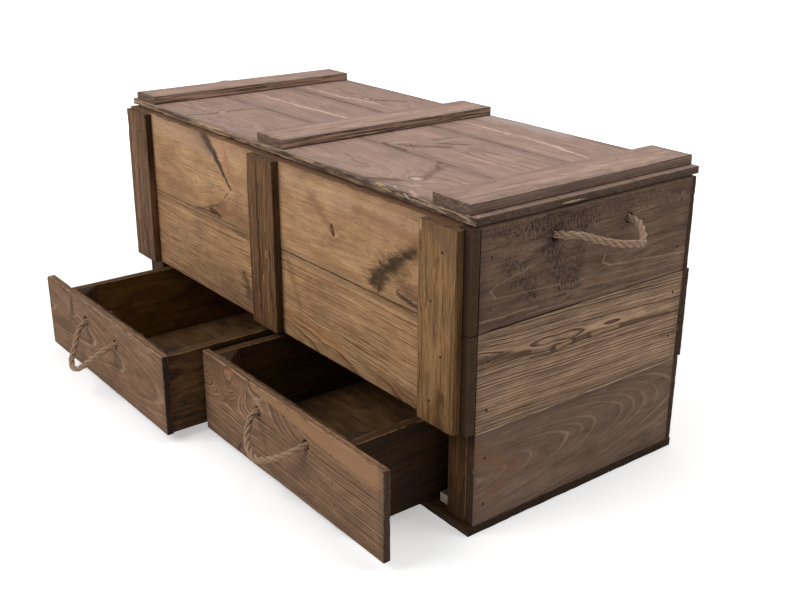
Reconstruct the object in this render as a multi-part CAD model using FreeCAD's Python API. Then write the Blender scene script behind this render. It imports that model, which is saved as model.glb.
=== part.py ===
import FreeCAD, Part
import math
import os

# A mule chest built from crate boards: a lidded compartment over two drawers that stand side by side.
# Millimetres. X runs along the chest, the front faces -Y, and the origin is under the middle of the floor.

# Case
case_length = 980.0
inner_depth = 416.0
board_width = 145.0
board_seam = 0.4
floor_thickness = 14.0
end_thickness = 14.0
front_thickness = 15.4
back_thickness = {"lower": 11.0, "middle": 16.0, "upper": 10.0}
post_width = 40.0
post_depth = 40.0
floor_front_lip = 6.0
floor_back_lip = 13.0
floor_plank_widths = [86.0, 60.0, 145.0]

# Battens across the front boards
front_batten_width = 76.0
front_batten_thickness = 14.0
front_batten_inset = 13.0
front_batten_short = 0.6

# Lid
lid_left_overhang = 10.5
lid_right_inset = 5.5
lid_thickness = 12.0
lid_gap = 0.3
lid_front_inset = 11.0
lid_back_overhang = 11.5
lid_board_widths = [150.0, 150.0]
lid_batten_width = 77.0
lid_batten_thickness = 15.0
lid_batten_inset = 13.0
lid_batten_short = 2.5

# Hinges: the overhang of the lid meets the back at the stop angle
lid_stop_angle = 105.0
hinge_length = 34.0
leaf_width = 24.0
leaf_thickness = 1.2
knuckle_radius = 3.5
knuckle_count = 5
knuckle_play = 0.25
knuckle_groove_clearance = 0.5
pin_radius = 1.5
pin_head = 1.0
pin_head_radius = 2.25
pin_clearance = 0.15
hinge_screw_spread = 20.0
hinge_screw_setback = 16.0
screw_head_radius = 2.8
screw_radius = 1.4
body_screw_length = 18.0
lid_screw_length = 20.0
fixing_clearance = 0.1
overcut = 1.0

# Inside the case
compartment_floor_thickness = 12.0
fit_gap = 0.3
cleat_width = 20.0
cleat_height = 20.0
divider_thickness = 18.0
divider_set_back = 10.0
guide_width = 28.0
guide_height = 15.0
guide_set_back = 10.0

# Drawers
front_board_thickness = 12.0
front_gap_below = 1.4
front_gap_above = 5.0
front_end_margin = 4.0
front_middle_gap = 12.0
box_play_at_divider = 3.0
box_play_at_guide = 8.0
box_gap_above = 9.1
box_gap_behind = 21.3
box_running_gap = 0.3
box_side_thickness = 15.0
box_front_thickness = 8.0
box_back_thickness = 12.0
box_bottom_thickness = 6.0
corner_block_leg = 36.0
drawer_pull = {"left": 202.7, "right": 138.0}

# Rope handles
rope_diameter = 10.0
rope_hole_clearance = 2.0
rope_above_hole_middle = 1.0
arc_share = 0.45
knot_diameter = 25.0
knot_length = 19.0
knot_rounding = 5.0
knot_tail = 12.0
drawer_handle_span = {"left": 124.0, "right": 131.0}
drawer_handle_offset = {"left": -2.4, "right": -7.6}
drawer_handle_drop = {"left": 37.4, "right": 40.0}
end_handle_span = 147.0
end_handle_drop = 35.8

# Nails
nail_head_radius = 2.6
nail_head_height = 1.4
nail_radius = 1.3
nail_sink = 0.4
batten_nail_length = 26.0
post_nail_length = 34.0
floor_nail_length = 42.0
nail_spread = 22.0
nail_stagger = 5.5
nail_edge_share = 0.25
lid_nail_edge_share = 0.2
lid_nail_short = 3.0

# Values that follow from the ones above
half_length = case_length / 2
half_depth = inner_depth / 2
rope_radius = rope_diameter / 2
board_pitch = board_width + board_seam
opening_top = floor_thickness + board_pitch
case_top = floor_thickness + 3 * board_pitch - board_seam
end_inner = half_length - end_thickness
post_inner = end_inner - post_width
post_middle = end_inner - post_width / 2
post_middle_depth = half_depth - post_depth / 2
front_face = -half_depth - front_thickness
compartment_floor_top = opening_top + compartment_floor_thickness
lid_bottom = case_top + lid_gap
lid_top = lid_bottom + lid_thickness
lid_front = front_face + lid_front_inset
lid_back = half_depth + back_thickness["upper"] + lid_back_overhang
lid_left = -half_length - lid_left_overhang
lid_right = half_length - lid_right_inset
stop_cosine = math.cos(math.radians(180 - lid_stop_angle))
pin_behind_back = lid_back_overhang * stop_cosine / (1 + stop_cosine)
hinge_y = half_depth + back_thickness["upper"] + pin_behind_back
hinge_z = case_top + lid_gap / 2
box_bottom = floor_thickness + box_running_gap
box_top = opening_top - box_gap_above
box_near = divider_thickness / 2 + box_play_at_divider
box_far = post_inner - guide_width - box_play_at_guide
front_width = case_length / 2 - front_end_margin - front_middle_gap / 2
front_bottom = floor_thickness + front_gap_below
front_top = opening_top - front_gap_above
closed_back_of_front = -half_depth - fit_gap
box_depth = half_depth - box_gap_behind - closed_back_of_front

side_sign = {"left": -1, "right": 1}
levels = ("lower", "middle", "upper")


def block(x_range, y_range, z_range):
    """A box between two values on each axis, given in either order."""
    low = [min(r) for r in (x_range, y_range, z_range)]
    size = [abs(r[1] - r[0]) for r in (x_range, y_range, z_range)]
    return Part.makeBox(size[0], size[1], size[2], FreeCAD.Vector(*low))


def rod(radius, start, direction, length):
    return Part.makeCylinder(radius, length, FreeCAD.Vector(*start), FreeCAD.Vector(*direction))


def moved(start, direction, distance):
    return tuple(s + d * distance for s, d in zip(start, direction))


def board_levels(level):
    """Bottom and top of one of the three courses of boards that stand on the floor."""
    bottom = floor_thickness + levels.index(level) * board_pitch
    return bottom, bottom + board_width


def inset_pair(start, end, share):
    """Two places, each a share of the range inside one of its ends."""
    inset = share * (end - start)
    return start + inset, end - inset


def nail_heights(level):
    return inset_pair(*board_levels(level), nail_edge_share)


def split(start, end, widths, seam):
    """Neighbouring ranges of the given widths, and a last one that takes what is left."""
    ranges = []
    place = start
    for width in widths:
        ranges.append((place, place + width - seam))
        place += width
    ranges.append((place, end))
    return ranges


# Fasteners. Each is (head point on the surface, direction it is driven in, length).


def nail(point, direction, length):
    top = moved(point, direction, nail_sink)
    head = rod(nail_head_radius, top, direction, nail_head_height)
    return head.fuse(rod(nail_radius, top, direction, length - nail_sink))


def nail_hole(point, direction, length):
    start = moved(point, direction, -nail_sink)
    head_depth = 2 * nail_sink + nail_head_height + fixing_clearance
    head = rod(nail_head_radius + fixing_clearance, start, direction, head_depth)
    shank = rod(nail_radius + fixing_clearance, start, direction, length + nail_sink + fixing_clearance)
    return head.fuse(shank)


def drilled(shape, holes):
    """The shape without the holes that reach it."""
    near = [h for h in holes if h.BoundBox.intersect(shape.BoundBox)]
    return shape.cut(near) if near else shape


def front_batten_middles():
    outer = half_length - front_batten_inset - front_batten_width / 2
    return {"left": -outer, "centre": 0.0, "right": outer}


def lid_batten_middles():
    inset = lid_batten_inset + lid_batten_width / 2
    return {"left": lid_left + inset, "centre": (lid_left + lid_right) / 2, "right": lid_right - inset}


def floor_ranges():
    start = -half_depth - floor_front_lip
    return split(start, half_depth + floor_back_lip, floor_plank_widths, board_seam)


def lid_ranges():
    return split(lid_front, lid_back, lid_board_widths, board_seam)


def case_nails():
    nails = []
    batten_face = front_face - front_batten_thickness
    for x in front_batten_middles().values():
        for level in ("middle", "upper"):
            for way, z in zip((-1, 1), nail_heights(level)):
                point = (x + way * nail_spread / 2, batten_face, z)
                nails.append((point, (0, 1, 0), batten_nail_length))
    for level in levels:
        back_face = half_depth + back_thickness[level]
        for z in nail_heights(level):
            for way in (-1, 1):
                nails.append(((way * post_middle, back_face, z), (0, -1, 0), post_nail_length))
                for depth_way in (-1, 1):
                    height = z + depth_way * nail_stagger
                    point = (way * half_length, depth_way * post_middle_depth, height)
                    nails.append((point, (-way, 0, 0), post_nail_length))
    nail_reach = half_depth - nail_stagger
    for start, end in floor_ranges():
        for way in (-1, 1):
            for y in inset_pair(start, end, nail_edge_share):
                point = (way * (half_length - end_thickness / 2), max(-nail_reach, min(y, nail_reach)), 0)
                nails.append((point, (0, 0, 1), floor_nail_length))
    return nails


def lid_nails():
    nails = []
    batten_top = lid_top + lid_batten_thickness
    length = lid_batten_thickness + lid_thickness - lid_nail_short
    for x in lid_batten_middles().values():
        for start, end in lid_ranges():
            for way, y in zip((-1, 1), inset_pair(start, end, lid_nail_edge_share)):
                nails.append(((x + way * nail_spread / 2, y, batten_top), (0, 0, -1), length))
    return nails


# Hinges


def hinge_screw_points(side):
    x = side_sign[side] * post_middle
    y = hinge_y - hinge_screw_setback
    return [(x - hinge_screw_spread / 2, y), (x + hinge_screw_spread / 2, y)]


def leaf_face(body):
    """Height of the outer face of a leaf, and the direction from it into its wood."""
    return (case_top, -1) if body == "case" else (lid_bottom, 1)


def hinge_screw(point, body, extra):
    face, way = leaf_face(body)
    length = body_screw_length if body == "case" else lid_screw_length
    start = FreeCAD.Vector(point[0], point[1], face)
    direction = FreeCAD.Vector(0, 0, way)
    head = Part.makeCone(screw_head_radius + extra, screw_radius + extra, leaf_thickness, start, direction)
    return head.fuse(Part.makeCylinder(screw_radius + extra, length + extra, start, direction))


def hinge_leaf(side, body):
    """A leaf with its share of the knuckles: the outer and middle ones on the case, the others on the lid."""
    middle = side_sign[side] * post_middle
    start = middle - hinge_length / 2
    face, way = leaf_face(body)
    plate_y = (hinge_y - leaf_width, hinge_y)
    leaf = block((start, start + hinge_length), plate_y, (face, face + way * leaf_thickness))
    step = hinge_length / knuckle_count
    for number in range(knuckle_count):
        x = start + number * step
        mine = (number % 2 == 0) == (body == "case")
        if mine:
            near = 0 if number == 0 else knuckle_play / 2
            far = 0 if number == knuckle_count - 1 else knuckle_play / 2
            knuckle = rod(knuckle_radius, (x + near, hinge_y, hinge_z), (1, 0, 0), step - near - far)
            leaf = leaf.fuse(knuckle)
        else:
            room = rod(
                knuckle_radius + knuckle_play,
                (x - knuckle_play / 2, hinge_y, hinge_z),
                (1, 0, 0),
                step + knuckle_play,
            )
            leaf = leaf.cut(room)
    bore_start = (start - overcut, hinge_y, hinge_z)
    bore = rod(pin_radius + pin_clearance, bore_start, (1, 0, 0), hinge_length + 2 * overcut)
    screws = [hinge_screw(point, body, fixing_clearance) for point in hinge_screw_points(side)]
    return leaf.cut([bore] + screws)


def hinge_pin(side):
    start = side_sign[side] * post_middle - hinge_length / 2 - pin_head
    pin = rod(pin_radius, (start, hinge_y, hinge_z), (1, 0, 0), hinge_length + 2 * pin_head)
    for x in (start, start + hinge_length + pin_head):
        pin = pin.fuse(rod(pin_head_radius, (x, hinge_y, hinge_z), (1, 0, 0), pin_head))
    return pin


def hinge_recesses(body):
    """What a case part or the lid loses to the leaves, knuckles and screws."""
    cuts = []
    face, way = leaf_face(body)
    for side in side_sign:
        start = side_sign[side] * post_middle - hinge_length / 2
        x_range = (start - fixing_clearance, start + hinge_length + fixing_clearance)
        y_range = (hinge_y - leaf_width - fixing_clearance, hinge_y)
        cuts.append(block(x_range, y_range, (face - way * overcut, face + way * leaf_thickness)))
        groove_start = start - pin_head - knuckle_groove_clearance
        groove_length = hinge_length + 2 * (pin_head + knuckle_groove_clearance)
        groove_radius = knuckle_radius + knuckle_groove_clearance
        cuts.append(rod(groove_radius, (groove_start, hinge_y, hinge_z), (1, 0, 0), groove_length))
        cuts += [hinge_screw(point, body, fixing_clearance) for point in hinge_screw_points(side)]
    return cuts


# Rope handles. A route is a list of (along the face, out of it, up) from the middle of the two holes.


def drawer_route(side):
    span = drawer_handle_span[side] / 2
    inside = -front_board_thickness - box_front_thickness
    routes = {
        "left": [
            (-span, inside, 2.5),
            (-span + 0.5, 10.5, -0.3),
            (-45, 31, -35.5),
            (-25, 49.5, -55.5),
            (4, 52, -61),
            (43.5, 31, -25),
            (span - 0.5, 10, -4.5),
            (span, inside, -1),
        ],
        "right": [
            (-span, inside, 1),
            (-span, 11, 0.5),
            (-57, 24, -24),
            (-35.5, 37.5, -37),
            (-2, 42, -45),
            (44, 25.5, -20.5),
            (span - 0.5, 10, -3),
            (span, inside, 1),
        ],
    }
    return routes[side]


def end_route():
    span = end_handle_span / 2
    return [
        (-span, -end_thickness, 1.5),
        (-span + 0.5, 10.5, 3),
        (-64.5, 34, 9),
        (-38, 44, -1.5),
        (-8, 52, -10.5),
        (21.5, 58, -14.5),
        (45.5, 52, -21),
        (60.5, 34.5, -7),
        (span - 0.5, 13, -1),
        (span, -end_thickness, -0.5),
    ]


def drawer_rope_points(side):
    x = side_sign[side] * (front_middle_gap + front_width) / 2 + drawer_handle_offset[side]
    y = closed_back_of_front - front_board_thickness - drawer_pull[side]
    z = front_top - drawer_handle_drop[side]
    return [(x + a, y - out, z + up) for a, out, up in drawer_route(side)]


def end_rope_points(side):
    way = side_sign[side]
    return [(way * (half_length + out), a, case_top - end_handle_drop + up) for a, out, up in end_route()]


def rope_tube(name, points):
    """A tube of straight runs and tangent arcs. Each arc is as large as its two runs allow."""
    p = [FreeCAD.Vector(*point) for point in points]
    edges = []
    radii = []
    place = p[0]
    for before, corner, after in zip(p, p[1:], p[2:]):
        back = (before - corner).normalize()
        ahead = (after - corner).normalize()
        half_turn = (math.pi - back.getAngle(ahead)) / 2
        reach = arc_share * min((before - corner).Length, (after - corner).Length)
        radius = reach / math.tan(half_turn)
        radii.append(round(radius, 1))
        start = corner + back * reach
        end = corner + ahead * reach
        inward = (back + ahead).normalize()
        centre_distance = radius / math.cos(half_turn)
        top = corner + inward * (centre_distance - radius)
        edges.append(Part.LineSegment(place, start).toShape())
        edges.append(Part.Arc(start, top, end).toShape())
        place = end
    edges.append(Part.LineSegment(place, p[-1]).toShape())
    path = Part.Wire(edges)
    ring = Part.Wire(Part.Circle(p[0], p[1] - p[0], rope_radius).toShape())
    tube = path.makePipeShell([ring], True, False)
    expected = math.pi * rope_radius**2 * path.Length
    print(name, "length", round(path.Length, 1), "radii", radii, "volume", round(tube.Volume / expected, 4))
    return tube


def knot(point, direction):
    """A rounded stopper knot with its cut tail."""
    body = rod(knot_diameter / 2, point, direction, knot_length)
    rims = [e for e in body.Edges if isinstance(e.Curve, Part.Circle)]
    body = body.makeFillet(knot_rounding, rims)
    middle = moved(point, direction, knot_length / 2)
    return body.fuse(rod(rope_radius, middle, direction, knot_length / 2 + knot_tail))


def rope_hole(point, direction, length):
    """The rope lies a little above the hole's middle where it starts, and leaves it lower down."""
    start = moved(point, (0, 0, -1), rope_above_hole_middle)
    return rod(rope_radius + rope_hole_clearance, start, direction, length)


# Pieces


def floor_pieces(holes):
    pieces = {}
    for number, y_range in enumerate(floor_ranges(), 1):
        plank = block((-half_length, half_length), y_range, (0, floor_thickness))
        pieces[f"floor_plank_{number}"] = drilled(plank, holes)
    return pieces


def end_pieces(holes):
    pieces = {}
    for side, way in side_sign.items():
        rope_holes = []
        for point in (end_rope_points(side)[0], end_rope_points(side)[-1]):
            rope_holes.append(rope_hole(point, (way, 0, 0), end_thickness))
        for level in levels:
            x_range = (way * end_inner, way * half_length)
            board = block(x_range, (-half_depth, half_depth), board_levels(level))
            board = drilled(board, holes)
            pieces[f"{side}_end_board_{level}"] = board.cut(rope_holes) if level == "upper" else board
    return pieces


def post_pieces(holes):
    pieces = {}
    for side, way in side_sign.items():
        for place, depth_way in (("front", -1), ("back", 1)):
            y_range = (depth_way * half_depth, depth_way * (half_depth - post_depth))
            post = block((way * post_inner, way * end_inner), y_range, (floor_thickness, case_top))
            pieces[f"{place}_{side}_post"] = drilled(post, holes + hinge_recesses("case"))
    return pieces


def front_pieces(holes):
    pieces = {}
    for level, name in (("middle", "lower"), ("upper", "upper")):
        board = block((-half_length, half_length), (front_face, -half_depth), board_levels(level))
        pieces[f"front_board_{name}"] = drilled(board, holes)
    z_range = (opening_top + front_batten_short, case_top - front_batten_short)
    for name, x in front_batten_middles().items():
        x_range = (x - front_batten_width / 2, x + front_batten_width / 2)
        batten = block(x_range, (front_face - front_batten_thickness, front_face), z_range)
        pieces[f"front_batten_{name}"] = drilled(batten, holes)
    return pieces


def back_pieces(holes):
    pieces = {}
    for level in levels:
        y_range = (half_depth, half_depth + back_thickness[level])
        board = block((-half_length, half_length), y_range, board_levels(level))
        pieces[f"back_board_{level}"] = drilled(board, holes + hinge_recesses("case"))
    return pieces


def inner_pieces():
    """The compartment's floor and what carries it, and the rails between which the drawers run."""
    reach_x = end_inner - fit_gap
    reach_y = half_depth - fit_gap
    z_range = (opening_top, compartment_floor_top)
    panel = block((-reach_x, reach_x), (-reach_y, reach_y), z_range)
    notches = []
    cleats = []
    guides = []
    for way in (-1, 1):
        for depth_way in (-1, 1):
            x_range = (way * (post_inner - fit_gap), way * end_inner)
            y_range = (depth_way * (half_depth - post_depth - fit_gap), depth_way * half_depth)
            notches.append(block(x_range, y_range, z_range))
        x_range = (way * (end_inner - cleat_width), way * end_inner)
        cleat_reach = half_depth - post_depth
        cleats.append(block(x_range, (-cleat_reach, cleat_reach), (opening_top - cleat_height, opening_top)))
        x_range = (way * (post_inner - guide_width), way * post_inner)
        y_range = (-half_depth + guide_set_back, half_depth)
        guides.append(block(x_range, y_range, (floor_thickness, floor_thickness + guide_height)))
    divider = block(
        (-divider_thickness / 2, divider_thickness / 2),
        (-half_depth + divider_set_back, half_depth),
        (floor_thickness, opening_top),
    )
    return {
        "compartment_floor": panel.cut(notches),
        "compartment_cleats": Part.makeCompound(cleats),
        "drawer_guides": Part.makeCompound(guides),
        "drawer_divider": divider,
    }


def lid_pieces(holes):
    pieces = {}
    cuts = holes + hinge_recesses("lid")
    for number, y_range in enumerate(lid_ranges(), 1):
        board = block((lid_left, lid_right), y_range, (lid_bottom, lid_top))
        pieces[f"lid_board_{number}"] = drilled(board, cuts)
    for name, x in lid_batten_middles().items():
        x_range = (x - lid_batten_width / 2, x + lid_batten_width / 2)
        y_range = (lid_front + lid_batten_short, lid_back - lid_batten_short)
        batten = block(x_range, y_range, (lid_top, lid_top + lid_batten_thickness))
        pieces[f"lid_batten_{name}"] = drilled(batten, cuts)
    return pieces


def hinge_pieces():
    pieces = {}
    for body in ("case", "lid"):
        pieces[f"hinge_{body}_leaves"] = Part.makeCompound([hinge_leaf(side, body) for side in side_sign])
        screws = [hinge_screw(p, body, 0) for side in side_sign for p in hinge_screw_points(side)]
        pieces[f"hinge_{body}_screws"] = Part.makeCompound(screws)
    pieces["hinge_pins"] = Part.makeCompound([hinge_pin(side) for side in side_sign])
    return pieces


def corner_block(x, y, way_x, way_y):
    corners = [(x, y), (x + way_x * corner_block_leg, y), (x, y + way_y * corner_block_leg)]
    z = box_bottom + box_bottom_thickness
    points = [FreeCAD.Vector(a, b, z) for a, b in corners]
    outline = Part.Face(Part.makePolygon(points + points[:1]))
    return outline.extrude(FreeCAD.Vector(0, 0, box_top - z))


def drawer_pieces(side):
    """One drawer, pulled out as far as it stands open."""
    way = side_sign[side]
    pull = drawer_pull[side]
    front_y = closed_back_of_front - pull
    back_y = front_y + box_depth
    inner_near = box_near + box_side_thickness
    inner_far = box_far - box_side_thickness
    inner_front = front_y + box_front_thickness
    inner_back = back_y - box_back_thickness
    z_range = (box_bottom, box_top)
    x_inner = (way * inner_near, way * inner_far)
    points = drawer_rope_points(side)
    rope_holes = []
    for point in (points[0], points[-1]):
        rope_holes.append(rope_hole(point, (0, -1, 0), front_board_thickness + box_front_thickness))
    front_x = (way * front_middle_gap / 2, way * (front_middle_gap / 2 + front_width))
    front = block(front_x, (front_y - front_board_thickness, front_y), (front_bottom, front_top))
    box_front = block(x_inner, (front_y, inner_front), z_range)
    blocks = []
    for x, way_x in ((inner_near, 1), (inner_far, -1)):
        for y, way_y in ((inner_front, 1), (inner_back, -1)):
            blocks.append(corner_block(way * x, y, way * way_x, way_y))
    knots = Part.makeCompound([knot(p, (0, 1, 0)) for p in (points[0], points[-1])])
    prefix = f"{side}_drawer"
    return {
        f"{prefix}_front": front.cut(rope_holes),
        f"{prefix}_box_front": box_front.cut(rope_holes),
        f"{prefix}_inner_side": block((way * box_near, way * inner_near), (front_y, back_y), z_range),
        f"{prefix}_outer_side": block((way * inner_far, way * box_far), (front_y, back_y), z_range),
        f"{prefix}_back": block(x_inner, (inner_back, back_y), z_range),
        f"{prefix}_bottom": block(
            x_inner, (inner_front, inner_back), (box_bottom, box_bottom + box_bottom_thickness)
        ),
        f"{prefix}_corner_blocks": Part.makeCompound(blocks),
        f"{prefix}_rope": rope_tube(f"{prefix}_rope", points).cut(knots),
        f"{prefix}_rope_knots": knots,
    }


def end_rope_pieces():
    pieces = {}
    knots = []
    for side, way in side_sign.items():
        points = end_rope_points(side)
        pair = [knot(p, (-way, 0, 0)) for p in (points[0], points[-1])]
        pieces[f"{side}_end_rope"] = rope_tube(f"{side}_end_rope", points).cut(pair)
        knots += pair
    pieces["end_rope_knots"] = Part.makeCompound(knots)
    return pieces


def main():
    case_holes = [nail_hole(*values) for values in case_nails()]
    lid_holes = [nail_hole(*values) for values in lid_nails()]
    pieces = {}
    pieces.update(floor_pieces(case_holes))
    pieces.update(end_pieces(case_holes))
    pieces.update(post_pieces(case_holes))
    pieces.update(front_pieces(case_holes))
    pieces.update(back_pieces(case_holes))
    pieces.update(inner_pieces())
    pieces.update(lid_pieces(lid_holes))
    pieces.update(hinge_pieces())
    pieces.update(end_rope_pieces())
    for side in side_sign:
        pieces.update(drawer_pieces(side))
    pieces["case_nails"] = Part.makeCompound([nail(*values) for values in case_nails()])
    pieces["lid_nails"] = Part.makeCompound([nail(*values) for values in lid_nails()])
    os.makedirs("parts", exist_ok=True)
    for name, shape in pieces.items():
        print(name, "solids", len(shape.Solids), "valid", shape.isValid())
        shape.exportStep(f"parts/{name}.step")
    print(len(pieces), "nodes; hinge axis at y", round(hinge_y, 3), "z", round(hinge_z, 3))


main()
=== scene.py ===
import bpy
import bmesh
import itertools
import math
import random
import numpy as np
from functools import partial
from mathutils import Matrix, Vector


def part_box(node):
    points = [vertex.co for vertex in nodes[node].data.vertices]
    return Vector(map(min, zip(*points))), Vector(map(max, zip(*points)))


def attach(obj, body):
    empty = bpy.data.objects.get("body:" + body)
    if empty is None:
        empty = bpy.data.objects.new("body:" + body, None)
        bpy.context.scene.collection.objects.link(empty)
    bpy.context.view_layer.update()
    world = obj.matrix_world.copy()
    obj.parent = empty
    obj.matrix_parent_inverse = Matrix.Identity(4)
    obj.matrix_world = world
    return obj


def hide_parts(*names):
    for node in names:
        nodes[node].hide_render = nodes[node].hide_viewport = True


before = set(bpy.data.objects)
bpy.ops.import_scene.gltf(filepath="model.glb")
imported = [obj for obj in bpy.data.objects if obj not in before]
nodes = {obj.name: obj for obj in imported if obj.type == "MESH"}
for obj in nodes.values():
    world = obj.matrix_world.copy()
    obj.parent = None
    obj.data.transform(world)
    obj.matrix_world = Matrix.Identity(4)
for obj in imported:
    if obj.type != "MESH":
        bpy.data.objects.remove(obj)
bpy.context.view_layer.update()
print("frame loaded,", len(nodes), "nodes")

axisNumber = {"x": 0, "y": 1, "z": 2}


def tone(colour):  # a colour as a paint program gives it
    values = [c / 255 for c in colour]
    return [c / 12.92 if c <= 0.04045 else ((c + 0.055) / 1.055) ** 2.4 for c in values] + [1]


def addObject(name, data, place=(0, 0, 0), turn=(0, 0, 0)):
    made = bpy.data.objects.new(name, data)
    made.location = place
    made.rotation_euler = turn
    bpy.context.scene.collection.objects.link(made)
    return made


# Camera

view = {"place": (1.444247, -1.081499, 0.860019), "turn": (68.589, -0.2152, 52.0926), "lens": 48.779}


def addCamera(values):
    lens = bpy.data.cameras.new("chestCamera")
    lens.lens = values["lens"]
    lens.sensor_width = 36
    lens.clip_end = 200
    turn = [math.radians(a) for a in values["turn"]]
    bpy.context.scene.camera = addObject("chestCamera", lens, values["place"], turn)


addCamera(view)


# Shader helpers: a new node goes into the tree of the sockets that feed it


def feed(socket, value):
    if isinstance(value, bpy.types.NodeSocket):
        socket.id_data.links.new(value, socket)
    else:
        socket.default_value = value


def put(kind, links, tree=None, **settings):
    tree = tree or next(v.id_data for v in links.values() if isinstance(v, bpy.types.NodeSocket))
    node = tree.nodes.new("ShaderNode" + kind)
    for name, value in settings.items():
        setattr(node, name, value)
    for key, value in links.items():
        feed(node.inputs[key], value)
    return node


def calc(operation, *values, clamp=False):
    return put("Math", dict(enumerate(values)), operation=operation, use_clamp=clamp).outputs[0]


operations = ("ADD", "SUBTRACT", "MULTIPLY", "DIVIDE", "MULTIPLY_ADD", "MINIMUM", "MAXIMUM", "ABSOLUTE")
add, sub, mul, div, mad, least, most, positive = (partial(calc, operation) for operation in operations)


def vectorCalc(operation, *values):
    return put("VectorMath", dict(enumerate(values)), operation=operation).outputs[0]


def scaled(vector, factor):
    return put("VectorMath", {0: vector, "Scale": factor}, operation="SCALE").outputs[0]


def split(vector):
    return put("SeparateXYZ", {0: vector}).outputs


def ramp(value, start, end, low=0.0, high=1.0):
    links = {"Value": value, "From Min": start, "From Max": end, "To Min": low, "To Max": high}
    return put("MapRange", links, interpolation_type="SMOOTHSTEP").outputs[0]


fade = partial(ramp, low=1.0, high=0.0)


def mixed(factor, a, b, how="MIX"):
    return put("Mix", {0: factor, 6: a, 7: b}, data_type="RGBA", blend_type=how).outputs[2]


def painted(colour, *layers):  # each layer is a share and a colour
    for share, tint in layers:
        colour = mixed(share, colour, tint)
    return colour


def noiseAt(place, stretch, shift, detail=1.0, rough=0.5, output="Fac"):
    moved = vectorCalc("ADD", vectorCalc("MULTIPLY", place, stretch), shift)
    links = {"Vector": moved, "Scale": 1.0, "Detail": detail, "Roughness": rough}
    return put("TexNoise", links).outputs[output]


def noiseAlong(value, scale, detail):
    links = {"W": value, "Scale": scale, "Detail": detail}
    return put("TexNoise", links, noise_dimensions="1D").outputs["Fac"]


def startGroup(name, given):
    tree = bpy.data.node_groups.new(name, "ShaderNodeTree")
    for label, value in given.items():
        kind = {1: "Float", 3: "Vector", 4: "Color"}[np.size(value)]
        socket = tree.interface.new_socket(name=label, in_out="INPUT", socket_type="NodeSocket" + kind)
        socket.default_value = value
    tree.nodes.new("NodeGroupOutput").name = "leave"
    return tree.nodes.new("NodeGroupInput").outputs


def give(label, value):  # an output of the group that the value belongs to
    tree = value.id_data
    kind = {"VALUE": "Float", "VECTOR": "Vector", "RGBA": "Color"}[value.type]
    tree.interface.new_socket(name=label, in_out="OUTPUT", socket_type="NodeSocket" + kind)
    feed(tree.nodes["leave"].inputs[label], value)


def useGroup(name, links):
    return put("Group", links, node_tree=bpy.data.node_groups[name]).outputs


seeded = {"Place": (0, 0, 0), "Seed": 1.0}
ringValues = {
    **seeded, "Ring Width": 0.006, "Pith Across": 0.0, "Pith Depth": 0.04, "Tilt": 0.05, "Slope": 0.0,
    "Wander": 0.004, "Sweep": 0.02, "Ripple": 0.004, "Bend": 0.0,
}
boardSize = {"Half Size": (0.5, 0.07, 0.006), "Side Reach": 0.0014}


# Growth rings: distance from a leaning pith line, cut by the board's surface

def growthRings():
    i = startGroup("growthRings", ringValues)
    shift = scaled((3.1, 1.7, 5.3), i["Seed"])
    slow = noiseAt(i["Place"], (2.6, 4.0, 4.0), shift)
    quick = noiseAt(i["Place"], (9.0, 42.0, 42.0), shift, 2.0)
    x, y, z = split(i["Place"])
    pith = mad(x, i["Slope"], i["Pith Across"])
    side = add(sub(y, pith), mul(sub(slow, 0.5), i["Sweep"]))
    stray = noiseAlong(add(x, i["Seed"]), 11.0, 1.0)
    lean = mad(sub(stray, 0.5), i["Wander"], mad(x, i["Tilt"], i["Pith Depth"]))
    depth = add(lean, z)
    away = calc("SQRT", add(mul(side, side), mul(depth, depth)))
    away = add(away, mul(sub(quick, 0.5), i["Ripple"]))
    count = div(add(away, i["Bend"]), i["Ring Width"])
    count = mad(noiseAlong(count, 0.37, 0.0), 2.2, count)
    part = calc("FRACT", count)
    own = put("TexWhiteNoise", {"W": calc("FLOOR", count)}, noise_dimensions="1D").outputs["Value"]
    own = mad(own, 0.6, 0.4)
    fall = fade(part, 0.9, 1.0)
    give("Ring", mul(mul(calc("POWER", part, 1.8), fall), own))
    give("Line", mul(mul(ramp(part, 0.66, 0.9), fall), own))
    give("Fine", mad(calc("SINE", mul(count, 17.0)), 0.5, 0.5))


# Noises by name: stretch, detail, roughness and, for a mask, the values where it starts and is full

def noiseGroup(name, push, noises):
    i = startGroup(name, seeded)
    shift = scaled(push, i["Seed"])
    for label, (stretch, detail, rough, *limits) in noises.items():
        value = noiseAt(i["Place"], stretch, shift, detail, rough)
        give(label, ramp(value, *limits) if limits else value)


# Edges: how near a point lies to the board's edges, ends and sides

def boardEdges():
    i = startGroup("boardEdges", {**seeded, **boardSize, "Reach": 0.004})
    x, y, z = split(vectorCalc("SUBTRACT", i["Half Size"], vectorCalc("ABSOLUTE", i["Place"])))
    total = add(add(x, y), z)
    second = sub(sub(total, most(most(x, y), z)), least(least(x, y), z))
    rough = noiseAt(i["Place"], (55.0, 90.0, 90.0), scaled((2.1, 6.3, 3.7), i["Seed"]), 3.0, 0.7)
    band = mul(i["Reach"], mad(rough, 3.4, -0.9))
    give("Edge", fade(div(second, most(band, 0.0002)), 0.35, 1.0))
    give("Room", x)
    give("End", fade(x, 0.0009, 0.0016))
    give("Near", fade(second, 0.0, 0.022))
    deep = ramp(z, 0.0012, 0.0022)
    give("Side", mul(fade(y, i["Side Reach"], add(i["Side Reach"], 0.001)), deep))
    thin = mul(mad(rough, 3.0, -0.6), 0.0011)
    crack = fade(div(y, most(thin, 0.0001)), 0.4, 1.0)
    give("Crack", mul(crack, sub(1.0, deep)))


# A knot: rings bend round it, a dark rim, turns inside and a small dark heart

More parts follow.
